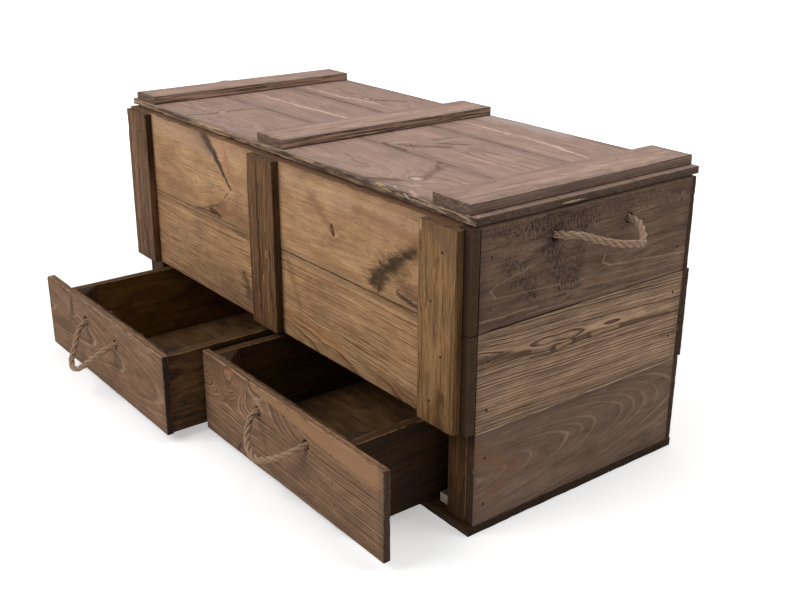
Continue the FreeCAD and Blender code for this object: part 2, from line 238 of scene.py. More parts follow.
def knotFigure():
    i = startGroup("knotFigure", {
        **seeded, "Centre": (0, 0, 0), "Size": 0.012, "Stretch": 1.4, "Pull": 1.0, "Warp": 0.9,
        "Heart Run": 0.001, "Heart Width": 0.005,
    })
    rel = vectorCalc("SUBTRACT", i["Place"], i["Centre"])
    x, y, z = split(rel)
    warp = sub(noiseAt(rel, (60.0, 85.0, 40.0), scaled((4.3, 2.7, 1.9), i["Seed"]), 2.0), 0.5)
    along = div(x, i["Stretch"])
    away = div(calc("SQRT", add(mul(along, along), mul(y, y))), i["Size"])
    away = mad(warp, i["Warp"], away)
    wide = div(away, 2.4)
    hill = calc("EXPONENT", mul(mul(wide, wide), -1.0))
    give("Bend", mul(mul(hill, i["Size"]), i["Pull"]))
    give("Core", fade(away, 0.78, 1.02))
    give("Halo", fade(away, 0.9, 2.6))
    rim = mul(ramp(away, 0.72, 0.95), fade(away, 1.0, 1.25))
    turns = mad(calc("SINE", mul(away, 19.0)), 0.25, 0.25)
    give("Rim", most(rim, mul(turns, fade(away, 0.8, 0.95))))
    share = div(positive(x), i["Heart Run"])
    off = mad(warp, i["Heart Width"], positive(y))
    room = mul(i["Heart Width"], sub(1.0, share))
    give("Heart", mul(fade(div(off, most(room, 0.0003)), 0.3, 1.1), fade(share, 0.35, 1.0)))


# What all stains, torn streaks and painted shades, shadows and sheens of a board share: a swayed place,
# frayed edges and torn dots

def smearField():
    i = startGroup("smearField", {**seeded, "Sway": 0.012})
    shift = scaled((2.7, 3.9, 1.3), i["Seed"])
    sway = noiseAt(i["Place"], (30, 55, 55), shift, 3.0, output="Color")
    sway = scaled(vectorCalc("SUBTRACT", sway, (0.5, 0.5, 0.5)), i["Sway"])
    give("Bent", vectorCalc("MULTIPLY", vectorCalc("ADD", i["Place"], sway), (1.0, 1.0, 0.0)))
    coarse = noiseAt(i["Place"], (45.0, 130.0, 130.0), shift, 3.0, 0.7)
    fine = noiseAt(i["Place"], (90.0, 620.0, 620.0), shift, 2.0, 0.7)
    give("Fray", sub(mad(fine, 0.6, mul(coarse, 0.8)), 0.7))
    dots = noiseAt(i["Place"], (360.0, 130.0, 130.0), shift, 2.0, 0.6)
    give("Dots", ramp(dots, 0.46, 0.60))


# One stain, torn streak or painted shade, shadow or sheen, as long as its run, with rounded ends

def woodSmear():
    i = startGroup("woodSmear", {
        "Bent": (0, 0, 0), "Fray": 0.0, "Dots": 1.0, "Middle": (0, 0, 0), "Turn": (0, 0, 0), "Half Run": 0.05,
        "Width": 0.01, "Widening": 0.0, "Fray Share": 1.9, "Soft": 0.75, "Dot Share": 0.0,
    })
    links = {"Vector": i["Bent"], "Location": i["Middle"], "Rotation": i["Turn"]}
    x, y, z = split(put("Mapping", links, vector_type="TEXTURE").outputs[0])
    width = mad(x, i["Widening"], i["Width"])
    over = most(sub(positive(x), i["Half Run"]), 0.0)
    away = div(calc("SQRT", mad(y, y, mul(over, over))), most(width, 0.0005))
    reach = mad(i["Fray"], i["Fray Share"], away)
    mask = fade(reach, sub(1.0, i["Soft"]), 1.0)
    give("Mask", mul(mask, ramp(i["Dots"], 0.0, 1.0, sub(1.0, i["Dot Share"]), 1.0)))


# One weathered board: its figure, colour, roughness and relief from the groups above

finishValues = {
    "Ring Contrast": 0.7, "Line Contrast": 0.5, "Streak Contrast": 0.5, "Fine Contrast": 0.2,
    "Thread Contrast": 1.5, "Grey Share": 0.3, "Blotch Share": 0.3, "Wear": 0.6, "Wear Reach": 0.004,
    "Low Wear": 0.5, "Seam": 0.6, "Edge Dirt": 0.3, "Side Shade": 0.7, "Side Dirt": 0.6, "Speckle": 0.5,
    "Core": 0.0, "Halo": 0.0, "Rim": 0.0, "Heart": 0.0,
}
finishTints = (
    "Light", "Dark", "Grey", "Worn", "Dirt", "End Grain", "Knot", "Resin", "Line Tint", "Side Tint",
)


def boardFinish():
    tints = dict.fromkeys(finishTints, (0.5, 0.4, 0.3, 1))
    i = startGroup("boardFinish", {**ringValues, **boardSize, **tints, **finishValues})
    rings = useGroup("growthRings", {name: i[name] for name in ringValues})
    fibres, ages = [useGroup(name, {key: i[key] for key in seeded}) for name in ("woodFibres", "ageMarks")]
    edgeLinks = {name: i[name] for name in (*seeded, *boardSize)}
    edges = useGroup("boardEdges", {**edgeLinks, "Reach": i["Wear Reach"]})
    streak = mul(sub(fibres["Streak"], 0.5), i["Streak Contrast"])
    thread = mul(sub(fibres["Thread"], 0.5), i["Thread Contrast"])
    thread = mad(sub(rings["Fine"], 0.5), i["Fine Contrast"], thread)
    depth = add(mad(streak, 2.2, mul(rings["Ring"], i["Ring Contrast"])), thread)
    colour = painted(
        mixed(add(depth, 0.12, clamp=True), i["Light"], i["Dark"]),
        (mul(rings["Line"], i["Line Contrast"]), i["Line Tint"]),
        (mul(ages["Patch"], i["Grey Share"]), i["Grey"]),
    )
    shade = mad(mul(sub(ages["Blotch"], 0.5), i["Blotch Share"]), 2.6, 1.0)
    shade = put("CombineXYZ", {0: shade, 1: shade, 2: shade}).outputs[0]
    dusk = mul(mul(edges["Near"], i["Edge Dirt"]), mad(ages["Blotch"], 1.4, 0.1), clamp=True)
    colour = painted(
        mixed(1.0, colour, shade, "MULTIPLY"),
        (mul(fibres["Pore"], 0.35), i["Dirt"]),
        (mul(i["Halo"], 0.5), i["Resin"]),
        (mul(i["Heart"], 0.75), i["Knot"]),
        (mul(i["Core"], 0.85), i["Resin"]),
        (i["Rim"], i["Knot"]),
        (dusk, i["Dirt"]),
        (mul(ages["Speck"], i["Speckle"]), i["Dirt"]),
        (mul(ages["Scratch"], 0.12), i["Worn"]),
    )
    sideTint = mixed(mul(fibres["Layer"], i["Side Dirt"]), i["Side Tint"], i["Dirt"])
    endLayers = (mul(fibres["Layer"], 0.6), ramp(fibres["Thread"], 0.4, 0.64, 0.0, 0.6))
    endTint = painted(i["End Grain"], *[(share, i["Dirt"]) for share in endLayers])
    x, y, z = split(i["Place"])
    wear = mul(i["Wear"], ramp(ramp(y, -0.002, 0.002), 0.0, 1.0, i["Low Wear"], 1.0))
    wear = mul(wear, ramp(edges["Room"], 0.004, 0.012, 0.25, 1.0))
    give("Color", painted(
        colour,
        (mul(edges["Side"], i["Side Shade"]), sideTint),
        (mul(edges["End"], 0.9), endTint),
        (mul(edges["Edge"], wear), i["Worn"]),
        (mul(edges["Crack"], i["Seam"]), i["Dirt"]),
    ))
    outer = ramp(div(z, split(i["Half Size"])[2]), -0.9, -0.6)
    give("Face", mul(mad(edges["End"], -0.85, 1.0), outer))
    dull = mad(ages["Patch"], 0.10, mad(fibres["Streak"], 0.22, 0.56))
    give("Roughness", mad(edges["End"], 0.1, dull, clamp=True))
    height = mad(rings["Line"], 0.45, mul(fibres["Thread"], 0.8))
    height = mad(fibres["Pore"], -0.7, mad(fibres["Streak"], 0.9, height))
    give("Height", mad(i["Rim"], -0.9, mad(ages["Scratch"], -0.25, height)))


growthRings()
noiseGroup("woodFibres", (1.3, 4.7, 2.9), {
    "Layer": ((10, 70, 400), 3, 0.65, 0.38, 0.60),
    "Streak": ((6, 120, 120), 3, 0.65),
    "Thread": ((17, 340, 340), 4, 0.75),
    "Pore": ((70, 1100, 1100), 1, 0.5, 0.66, 0.78),
})
noiseGroup("ageMarks", (5.9, 2.3, 1.1), {
    "Patch": ((5, 11, 11), 3, 0.6, 0.38, 0.66),
    "Blotch": ((22, 50, 50), 3, 0.65),
    "Speck": ((190, 300, 300), 1, 0.5, 0.76, 0.84),
    "Scratch": ((420, 26, 26), 1, 0.5, 0.70, 0.80),
})
boardEdges()
knotFigure()
smearField()
woodSmear()
boardFinish()


def startMaterial(name):
    material = bpy.data.materials.new(name)
    material.use_nodes = True
    material.node_tree.nodes.clear()
    return material, material.node_tree


def objectPlace(tree):
    return put("TexCoord", {}, tree).outputs["Object"]


def finishMaterial(height, strength, distance, links):
    bump = put("Bump", {"Height": height, "Strength": strength, "Distance": distance})
    shader = put("BsdfPrincipled", {**links, "Normal": bump.outputs[0]})
    put("OutputMaterial", {"Surface": shader.outputs[0]})


# Wood: in a look, capital names are inputs of boardFinish. All lengths in the rows are in mm, along and
# across the grain.
# knots: x, y, size, stretch, pull, core, halo, rim and, where it isn't 0.9, warp
# marks: x and y of both ends, half breadth at both ends, tint, share and, where they aren't 1, 0.8 and 0,
# soft, fray and dots

markRest = [1.0, 0.8, 0.0]


def woodMaterial(name, low, high, grain, out, look):
    along = axisNumber[grain]
    deep = axisNumber[out[-1]]
    across = 3 - along - deep
    centre = (Vector(low) + Vector(high)) / 2
    half = (Vector(high) - Vector(low)) / 2

    def onBoard(x, y):
        return x / 1000 - centre[along], y / 1000 - centre[across], 0

    material, tree = startMaterial(name)
    parts = split(vectorCalc("SUBTRACT", objectPlace(tree), tuple(centre)))
    depth = mul(parts[deep], -1 if out[0] == "-" else 1)
    place = put("CombineXYZ", {0: parts[along], 1: parts[across], 2: depth}).outputs[0]
    links = {"Place": place, "Half Size": (half[along], half[across], half[deep])}
    for key, value in look.items():
        if key[0].isupper():
            links[key] = tone(value) if isinstance(value, tuple) else value
    links.setdefault("Line Tint", links["Dark"])
    sums = {}
    for number, (x, y, width, stretch, pull, core, halo, rim, *rest) in enumerate(look.get("knots", [])):
        made = useGroup("knotFigure", {
            "Place": place, "Centre": onBoard(x, y), "Size": width / 1000, "Stretch": stretch, "Pull": pull,
            "Warp": rest[0] if rest else 0.9, "Seed": look["Seed"] + number * 3.3,
        })
        shares = {"Bend": made["Bend"], "Heart": made["Heart"]}
        for key, share in (("Core", core), ("Halo", halo), ("Rim", rim)):
            shares[key] = mul(made[key], share)
        for key, value in shares.items():
            join = add if key == "Bend" else most
            sums[key] = join(sums[key], value) if key in sums else value
    finish = useGroup("boardFinish", {**links, **sums})
    colour = finish["Color"]
    marks = look.get("marks", [])
    if marks:
        field = useGroup("smearField", {"Place": place, "Seed": look["Seed"], "Sway": look["sway"]})
    for x0, y0, x1, y1, w0, w1, tint, share, *rest in marks:
        soft, fray, dots = rest + markRest[len(rest):]
        start = onBoard(x0, y0)
        end = onBoard(x1, y1)
        run = math.hypot(end[0] - start[0], end[1] - start[1])
        widening = (w1 - w0) / 1000
        mask = useGroup("woodSmear", {
            **{key: field[key] for key in ("Bent", "Fray", "Dots")},
            "Middle": [(a + b) / 2 for a, b in zip(start, end)],
            "Turn": (0, 0, math.atan2(end[1] - start[1], end[0] - start[0])),
            "Half Run": run / 2, "Width": w0 / 1000 + widening / 2, "Widening": widening / run,
            "Fray Share": fray * 2.4, "Soft": soft, "Dot Share": dots,
        })["Mask"]
        colour = mixed(mul(mul(mask, share), finish["Face"]), colour, tone(tint))
    finishMaterial(finish["Height"], 0.7, 0.0011, {
        "Base Color": colour, "Roughness": finish["Roughness"], "Specular IOR Level": look["gloss"],
    })
    return material


print("wood groups built")


# Mesh helpers

hashFactors = np.array([374761393, 668265263, 2246822519, 3266489917], np.uint64)
hashMixers = ((13, 1274126177), (16, 2654435761))
hashStart = 974634777


def hashed(cells, seed):
    n = cells.astype(np.uint64)
    mix = n[..., 0] * hashFactors[0] + n[..., 1] * hashFactors[1]
    mix = mix + n[..., 2] * hashFactors[2] + np.uint64(seed * int(hashFactors[3]) + hashStart)
    for shift, factor in hashMixers:
        mix = (mix ^ (mix >> np.uint64(shift))) * np.uint64(factor)
    return ((mix >> np.uint64(11)) & np.uint64(0xFFFFFF)) / 0xFFFFFF


def lumps(points, scale, seed):  # smooth values from 0 to 1
    spread = points * np.array(scale)
    cell = np.floor(spread).astype(np.int64)
    part = spread - cell
    part = part * part * (3 - 2 * part)
    total = np.zeros(len(points))
    for corner in itertools.product((0, 1), repeat=3):
        weight = np.prod(np.where(np.array(corner), part, 1 - part), axis=1)
        total += weight * hashed(cell + np.array(corner), seed)
    return total


def rise(value, start, length):  # 0 at start, 1 after length, and level beyond
    return np.clip((value - start) / length, 0, 1)


def ticks(length, step, rounding):
    reach = min(2 * rounding, length * 0.3)
    count = max(1, round((length - 2 * reach) / step))
    middle = list(np.linspace(reach, length - reach, count + 1))
    near = [0, 0.42 * rounding, rounding]
    return np.array(near + middle + [length - t for t in reversed(near)])


def boxGrid(*lines):
    index = {}
    points = []
    faces = []

    def at(key):
        if key not in index:
            index[key] = len(points)
            points.append([line[n] for line, n in zip(lines, key)])
        return index[key]

    for flat in range(3):
        a = (flat + 1) % 3
        b = (flat + 2) % 3
        for end in (0, len(lines[flat]) - 1):
            for p, q in itertools.product(range(len(lines[a]) - 1), range(len(lines[b]) - 1)):
                ring = []
                for stepA, stepB in ((0, 0), (1, 0), (1, 1), (0, 1)):
                    key = {flat: end, a: p + stepA, b: q + stepB}
                    ring.append(at((key[0], key[1], key[2])))
                faces.append(ring if end else ring[::-1])
    return np.array(points), faces


def tubeFaces(rows, count, base=0):  # rings of count points, closed at both ends, and each corner's own place
    spots = itertools.product(range(rows - 1), range(count))
    corners = [[(r, n), (r, n + 1), (r + 1, n + 1), (r + 1, n)] for r, n in spots]
    corners += [[(r, n) for n in range(count)] for r in (0, rows - 1)]
    faces = [[base + r * count + n % count for r, n in face] for face in corners]
    faces[-2].reverse()
    return faces, corners


# A sawn board: rounded worn edges, nicks, a faint wave and rough ends, all inside its box

sawn = {
    "step": 0.010, "rounding": 0.0013, "nick": 0.0022, "nickShare": 0.30, "nickReach": 0.007, "wave": 0.0005,
    "endRough": 0.0009, "endReach": 0.004,
}


def boardPoints(low, high, grain, seed, shape):
    values = {**sawn, **shape}
    low = np.array(low)
    high = np.array(high)
    size = high - low
    along = axisNumber[grain]
    steps = [values["step"] * (1.0 if n == along else 0.8) for n in range(3)]
    lines = [low[n] + ticks(size[n], steps[n], min(values["rounding"], size[n] * 0.2)) for n in range(3)]
    points, faces = boxGrid(*lines)
    centre = (low + high) / 2
    rel = points - centre
    worn = values["rounding"] * (0.5 + lumps(points, (45, 45, 45), seed))
    inner = np.clip(rel, -(size / 2 - worn[:, None]), size / 2 - worn[:, None])
    push = rel - inner
    unit = push / np.maximum(np.linalg.norm(push, axis=1), 1e-9)[:, None]
    room = np.sort(size / 2 - np.abs(rel), axis=1)
    nearEdge = np.clip(1 - room[:, 1] / values["nickReach"], 0, 1)
    picks = lumps(points, (38, 38, 38), seed + 1) * 0.6 + lumps(points, (110, 110, 110), seed + 2) * 0.4
    nick = rise(picks, 1 - values["nickShare"], values["nickShare"])
    wave = lumps(points, (9, 9, 9), seed + 3) * values["wave"]
    depth = values["nick"] * nick * nearEdge + wave
    onEnd = np.clip(1 - (size[along] / 2 - np.abs(rel[:, along])) / values["endReach"], 0, 1)
    fine = lumps(points, [30 if n == along else 420 for n in range(3)], seed + 4)
    made = centre + inner + unit * (worn - depth)[:, None]
    made[:, along] -= np.sign(rel[:, along]) * onEnd * fine * values["endRough"]
    return points, made, faces


def smooth(mesh, sharp):
    mesh.shade_smooth()
    mesh.set_sharp_from_angle(angle=math.radians(sharp))


def meshPiece(name, points, faces, sharp=50):
    mesh = bpy.data.meshes.new(name)
    mesh.from_pydata([tuple(p) for p in points], [], [tuple(f) for f in faces])
    mesh.update()
    smooth(mesh, sharp)
    return addObject(name, mesh)


def evaluated(holder):  # a mesh of what the object shows with its modifiers
    graph = bpy.context.evaluated_depsgraph_get()
    return bpy.data.meshes.new_from_object(holder.evaluated_get(graph), depsgraph=graph)


def cutOut(piece, cutters, sharp=50):
    for cutter in cutters:
        modifier = piece.modifiers.new("cut", "BOOLEAN")
        modifier.operation = "DIFFERENCE"
        modifier.solver = "EXACT"
        modifier.object = cutter
    old = piece.data
    piece.data = evaluated(piece)
    piece.modifiers.clear()
    smooth(piece.data, sharp)
    for mesh in [old] + [cutter.data for cutter in cutters]:
        bpy.data.meshes.remove(mesh)


def sidesOf(direction):  # an axis and two sides square to it
    axis = Vector(direction).normalized()
    side = Vector((0, 0, 1)).cross(axis)
    side = side.normalized() if side.length > 0.01 else Vector((1, 0, 0))
    return axis, side, axis.cross(side)


def turned(name, start, direction, profile, count=28, sag=0.0):
    # a closed body of rings (distance, radius) round an axis; sag widens it downwards
    axis, side, up = sidesOf(direction)
    points = []
    for distance, radius in profile:
        for n in range(count):
            angle = math.tau * n / count
            reach = radius + sag * max(0, -math.sin(angle)) * radius
            out = side * math.cos(angle) + up * math.sin(angle)
            points.append(Vector(start) + axis * distance + out * reach)
    return meshPiece(name, points, tubeFaces(len(profile), count)[0])


def declare(piece, material, body, slot, *replaced):
    piece.data.materials.append(material)
    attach(piece, body)
    for node in replaced:
        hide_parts(node)
    return piece


def makeBoard(piece, node, body, slot, grain, out, look, box=None, cutters=(), reshape=None):
    low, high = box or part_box(node)
    rest, points, faces = boardPoints(low, high, grain, int(look["Seed"] * 7), look.get("shape", {}))
    if reshape:
        reshape(rest, points, np.array(low), np.array(high))
    made = meshPiece(piece, points, faces)
    if cutters:
        cutOut(made, cutters)
    declare(made, woodMaterial(piece + "Wood", low, high, grain, out, look), body, slot, node)


# Ropes

rope = {"diameter": 0.010, "layLength": 0.044, "fibres": 520, "reach": 0.0026}
knotRope = {"diameter": 0.0086, "layLength": 0.024, "fibres": 60, "reach": 0.0018}
# each strand's distance from the rope's axis, its radius and where hairs start, as shares of the diameter
strand = {"reach": 0.275, "radius": 0.252, "hairFoot": 0.40, "sides": 12}
hairWidths = np.array([1, 0.9, 0.7, 0.35]) * 0.00016
leftDrawerRoute = [
    (-62, -20, 2.5), (-61.5, 10.5, -0.3), (-45, 31, -35.5), (-25, 49.5, -55.5), (4, 52, -61), (43.5, 31, -25),
    (61.5, 10, -4.5), (62, -20, -1),
]
rightDrawerRoute = [
    (-65.5, -20, 1), (-65.5, 11, 0.5), (-57, 24, -24), (-35.5, 37.5, -37), (-2, 42, -45), (44, 25.5, -20.5),
    (65, 10, -3), (65.5, -20, 1),
]
endRoute = [
    (-73.5, -14, 1.5), (-73, 10.5, 3), (-64.5, 34, 9), (-38, 44, -1.5), (-8, 52, -10.5), (21.5, 58, -14.5),
    (45.5, 52, -21), (60.5, 34.5, -7), (73, 13, -1), (73.5, -14, -0.5),
]


def drawerPoints(x, y, z, route):
    return [Vector((x + a, y - out, z + up)) / 1000 for a, out, up in route]


def endPoints(way):
    return [Vector((way * (490 + out), a, 414 + up)) / 1000 for a, out, up in endRoute]


def travelled(line):
    return np.concatenate([[0], np.cumsum(np.linalg.norm(np.diff(line, axis=0), axis=1))])


def smoothLine(points, step=0.0011):
    curve = bpy.data.curves.new("route", "CURVE")
    curve.dimensions = "3D"
    spline = curve.splines.new("NURBS")
    spline.points.add(len(points) - 1)
    for spot, point in zip(spline.points, points):
        spot.co = (*point, 1)
    spline.order_u = 3
    spline.use_endpoint_u = True
    spline.resolution_u = 24
    mesh = evaluated(addObject("route", curve))
    line = np.array([v.co for v in mesh.vertices])
    bpy.data.curves.remove(curve)
    bpy.data.meshes.remove(mesh)
    travel = travelled(line)
    places = np.linspace(0, travel[-1], max(8, int(travel[-1] / step)))
    return np.stack([np.interp(places, travel, line[:, n]) for n in range(3)], axis=1), travel[-1]


def carried(line):  # tangent and two sides at each point, turned as little as possible
    tangent = np.gradient(line, axis=0)
    tangent /= np.linalg.norm(tangent, axis=1)[:, None]
    side = np.array([0.0, 0.0, 1.0]) if abs(tangent[0][2]) < 0.9 else np.array([1.0, 0.0, 0.0])
    sides = []
    for t in tangent:
        side = side - t * np.dot(side, t)
        side /= np.linalg.norm(side)
        sides.append(side)
    return tangent, np.array(sides), np.cross(tangent, sides)


def sweep(line, radius, count, base):
    tangent, side, up = carried(line)
    angles = np.arange(count) * math.tau / count
    ring = np.cos(angles)[None, :, None] * side[:, None, :] + np.sin(angles)[None, :, None] * up[:, None, :]
    points = (line[:, None, :] + ring * radius[:, None, None]).reshape(-1, 3)
    faces, corners = tubeFaces(len(line), count, base)
    travel = travelled(line)
    return points, faces, [[(travel[r], n / count) for r, n in face] for face in corners]


def ropeMesh(name, line, values, seed):
    chance = random.Random(seed)
    tangent, side, up = carried(line)
    travel = travelled(line)
    points = []
    faces = []
    spots = []

    def uneven(scale, seed, a=0, b=0):
        return lumps(np.stack([travel, travel * 0 + a, travel * 0 + b], axis=1), (scale, 1, 1), seed)

    def join(centre, radius, count):
        for held, made in zip((points, faces, spots), sweep(centre, radius, count, len(points))):
            held.extend(made)

    start = chance.uniform(0, math.tau)
    sway = uneven(45, seed)
    for which in range(3):
        angle = start + travel / values["layLength"] * math.tau + which * math.tau / 3
        loose = 1 + 0.08 * (uneven(70, seed + 9, which) - 0.5)
        reach = values["diameter"] * strand["reach"] * (0.97 + 0.1 * sway) * loose
        centre = line + (np.cos(angle)[:, None] * side + np.sin(angle)[:, None] * up) * reach[:, None]
        radius = values["diameter"] * strand["radius"] * (0.95 + 0.1 * uneven(130, seed + 5, 0, which))
        join(centre, radius, strand["sides"])
    for _ in range(values["fibres"]):
        row = chance.randrange(6, len(line) - 6)
        angle = chance.uniform(0, math.tau)
        out = math.cos(angle) * side[row] + math.sin(angle) * up[row]
        lean = np.array([chance.uniform(-1, 1) for _ in range(3)])
        ahead = out * 0.9 + tangent[row] * chance.choice((-1, 1)) * 1.7
        length = chance.uniform(0.3, 1.0) * values["reach"]
        foot = line[row] + out * values["diameter"] * strand["hairFoot"]
        hair = [foot + (ahead * part + lean * 0.35 * part * part) * length for part in (0, 0.35, 0.7, 1.0)]
        join(np.array(hair), hairWidths, 3)
    piece = meshPiece(name, points, faces, 60)
    flat = [c for spot in spots for c in spot]
    piece.data.uv_layers.new(name="ropePlace").data.foreach_set("uv", np.array(flat, float).reshape(-1))
    return piece


def juteMaterial(name, look):
    material, tree = startMaterial(name)
    x, y, z = split(put("UVMap", {}, tree, uv_map="ropePlace").outputs[0])
    twist = mad(x, look["yarnTwist"], mul(y, look["yarns"]))
    wave = mad(calc("SINE", mul(twist, math.tau)), 0.5, 0.5)
    hair = noiseAt(put("CombineXYZ", {0: x, 1: twist}).outputs[0], (230, 9, 1), (0, 0, 0), 3.0, 0.7)
    patch = noiseAt(objectPlace(tree), (70, 70, 70), (3, 1, 2), 2.0)
    shade = mad(wave, 0.30, mad(hair, 0.9, -0.25), clamp=True)
    colour = mixed(shade, tone(look["dark"]), tone(look["light"]))
    finishMaterial(mad(hair, 0.8, wave), 0.9, 0.0005, {
        "Base Color": mixed(ramp(patch, 0.45, 0.75, 0.0, 0.35), colour, tone(look["grey"])),
        "Roughness": ramp(hair, 0.2, 0.8, 0.75, 0.95),
        "Specular IOR Level": 0.2, "Sheen Weight": 0.25, "Sheen Roughness": 0.5,
    })
    return material


juteLook = {
    "light": (230, 192, 154), "dark": (82, 56, 37), "grey": (180, 150, 124), "yarnTwist": 120.0, "yarns": 5.0,
}
jute = juteMaterial("juteRope", juteLook)
# a darker copy of the rope's jute for the stopper knots: painted shade, as they sit in the holes
shadedKnotJute = juteMaterial("juteKnots", {
    **juteLook, "light": (132, 104, 76), "dark": (60, 42, 27), "grey": (104, 82, 62),
})
stopper = [  # mm into the wood, mm from the axis and degrees round it
    (0, 0, 0), (2.2, 2, 20), (3.6, 6.6, 60), (4.6, 8, 120), (7, 8, 180), (9.6, 8, 240), (12.4, 8, 300),
    (14.2, 8, 360), (13.6, 8, 420), (10.4, 7.6, 475), (12, 5, 530), (16, 2.2, 590), (21, 0.4, 640),
    (26, 0.6, 660), (30.8, 0, 680),
]


def knotLine(point, direction, spin):
    # the rope comes in on the axis, winds round itself and leaves as a short tail
    axis, side, up = sidesOf(direction)
    route = []
    for deep, away, angle in stopper:
        turn = math.radians(angle + spin)
        spot = Vector(point) + axis * deep / 1000
        route.append(spot + (side * math.cos(turn) + up * math.sin(turn)) * away / 1000)
    return smoothLine(route, 0.0012)[0]


def makeRope(name, node, body, route, inward, knotNode, seed):
    line, length = smoothLine(route)
    piece = declare(ropeMesh(name, line, rope, seed), jute, body, "jute", node)
    for number, point in enumerate((route[0], route[-1])):
        wound = knotLine(point, inward, 70 + 150 * number)
        made = ropeMesh(f"{name}Knot{number + 1}", wound, knotRope, seed + 20 + number)
        declare(made, shadedKnotJute, body, "jute", knotNode)
    tuple(route[0])
    [list(p) for p in line]
    print(name, "length", round(length * 1000, 1), "mm")


drawerRopes = {
    "left": drawerPoints(-248.4, -423.0, 117.0, leftDrawerRoute),
    "right": drawerPoints(238.4, -358.3, 114.4, rightDrawerRoute),
}
endRopes = {"left": endPoints(-1), "right": endPoints(1)}
for side, seed in (("left", 3), ("right", 5)):
    body = f"{side}_drawer"
    node = f"{body}_rope"
    makeRope(f"{side}DrawerRope", node, body, drawerRopes[side], (0, 1, 0), f"{node}_knots", seed)
for side, way, seed in (("left", 1, 7), ("right", -1, 9)):
    node = f"{side}_end_rope"
    makeRope(f"{side}EndRope", node, "case", endRopes[side], (way, 0, 0), "end_rope_knots", seed)
print("ropes done")


def ropeHoles(name, points, direction, through):
    # worn oval holes, flared at the outside where the rope drags on the lower edge
    flare = ((-0.003, 0.007), (-0.001, 0.0074), (0, 0.0084), (0.004, 0.012))
    profile = [(-0.004, 0.007)] + [(through + deep, radius) for deep, radius in flare]
    lower = Vector((0, 0, 0.001))
    ends = enumerate((points[0], points[-1]))
    return [turned(f"{name}Cutter{n}", point - lower, direction, profile, sag=0.18) for n, point in ends]


# Wood looks shared by several boards

plainWood = {
    "Light": (150, 116, 86), "Dark": (78, 52, 34), "Grey": (110, 90, 74), "Worn": (180, 146, 112),
    "Dirt": (28, 17, 8), "End Grain": (78, 56, 38), "Side Tint": (100, 72, 48), "Knot": (44, 26, 15),
    "Resin": (110, 66, 38), "Ring Width": 0.0065, "Pith Across": 0.03, "Pith Depth": 0.05, "Tilt": 0.04,
    "Sweep": 0.03, "Wear": 0.3, "gloss": 0.14, "sway": 0.012,
}


# Lid

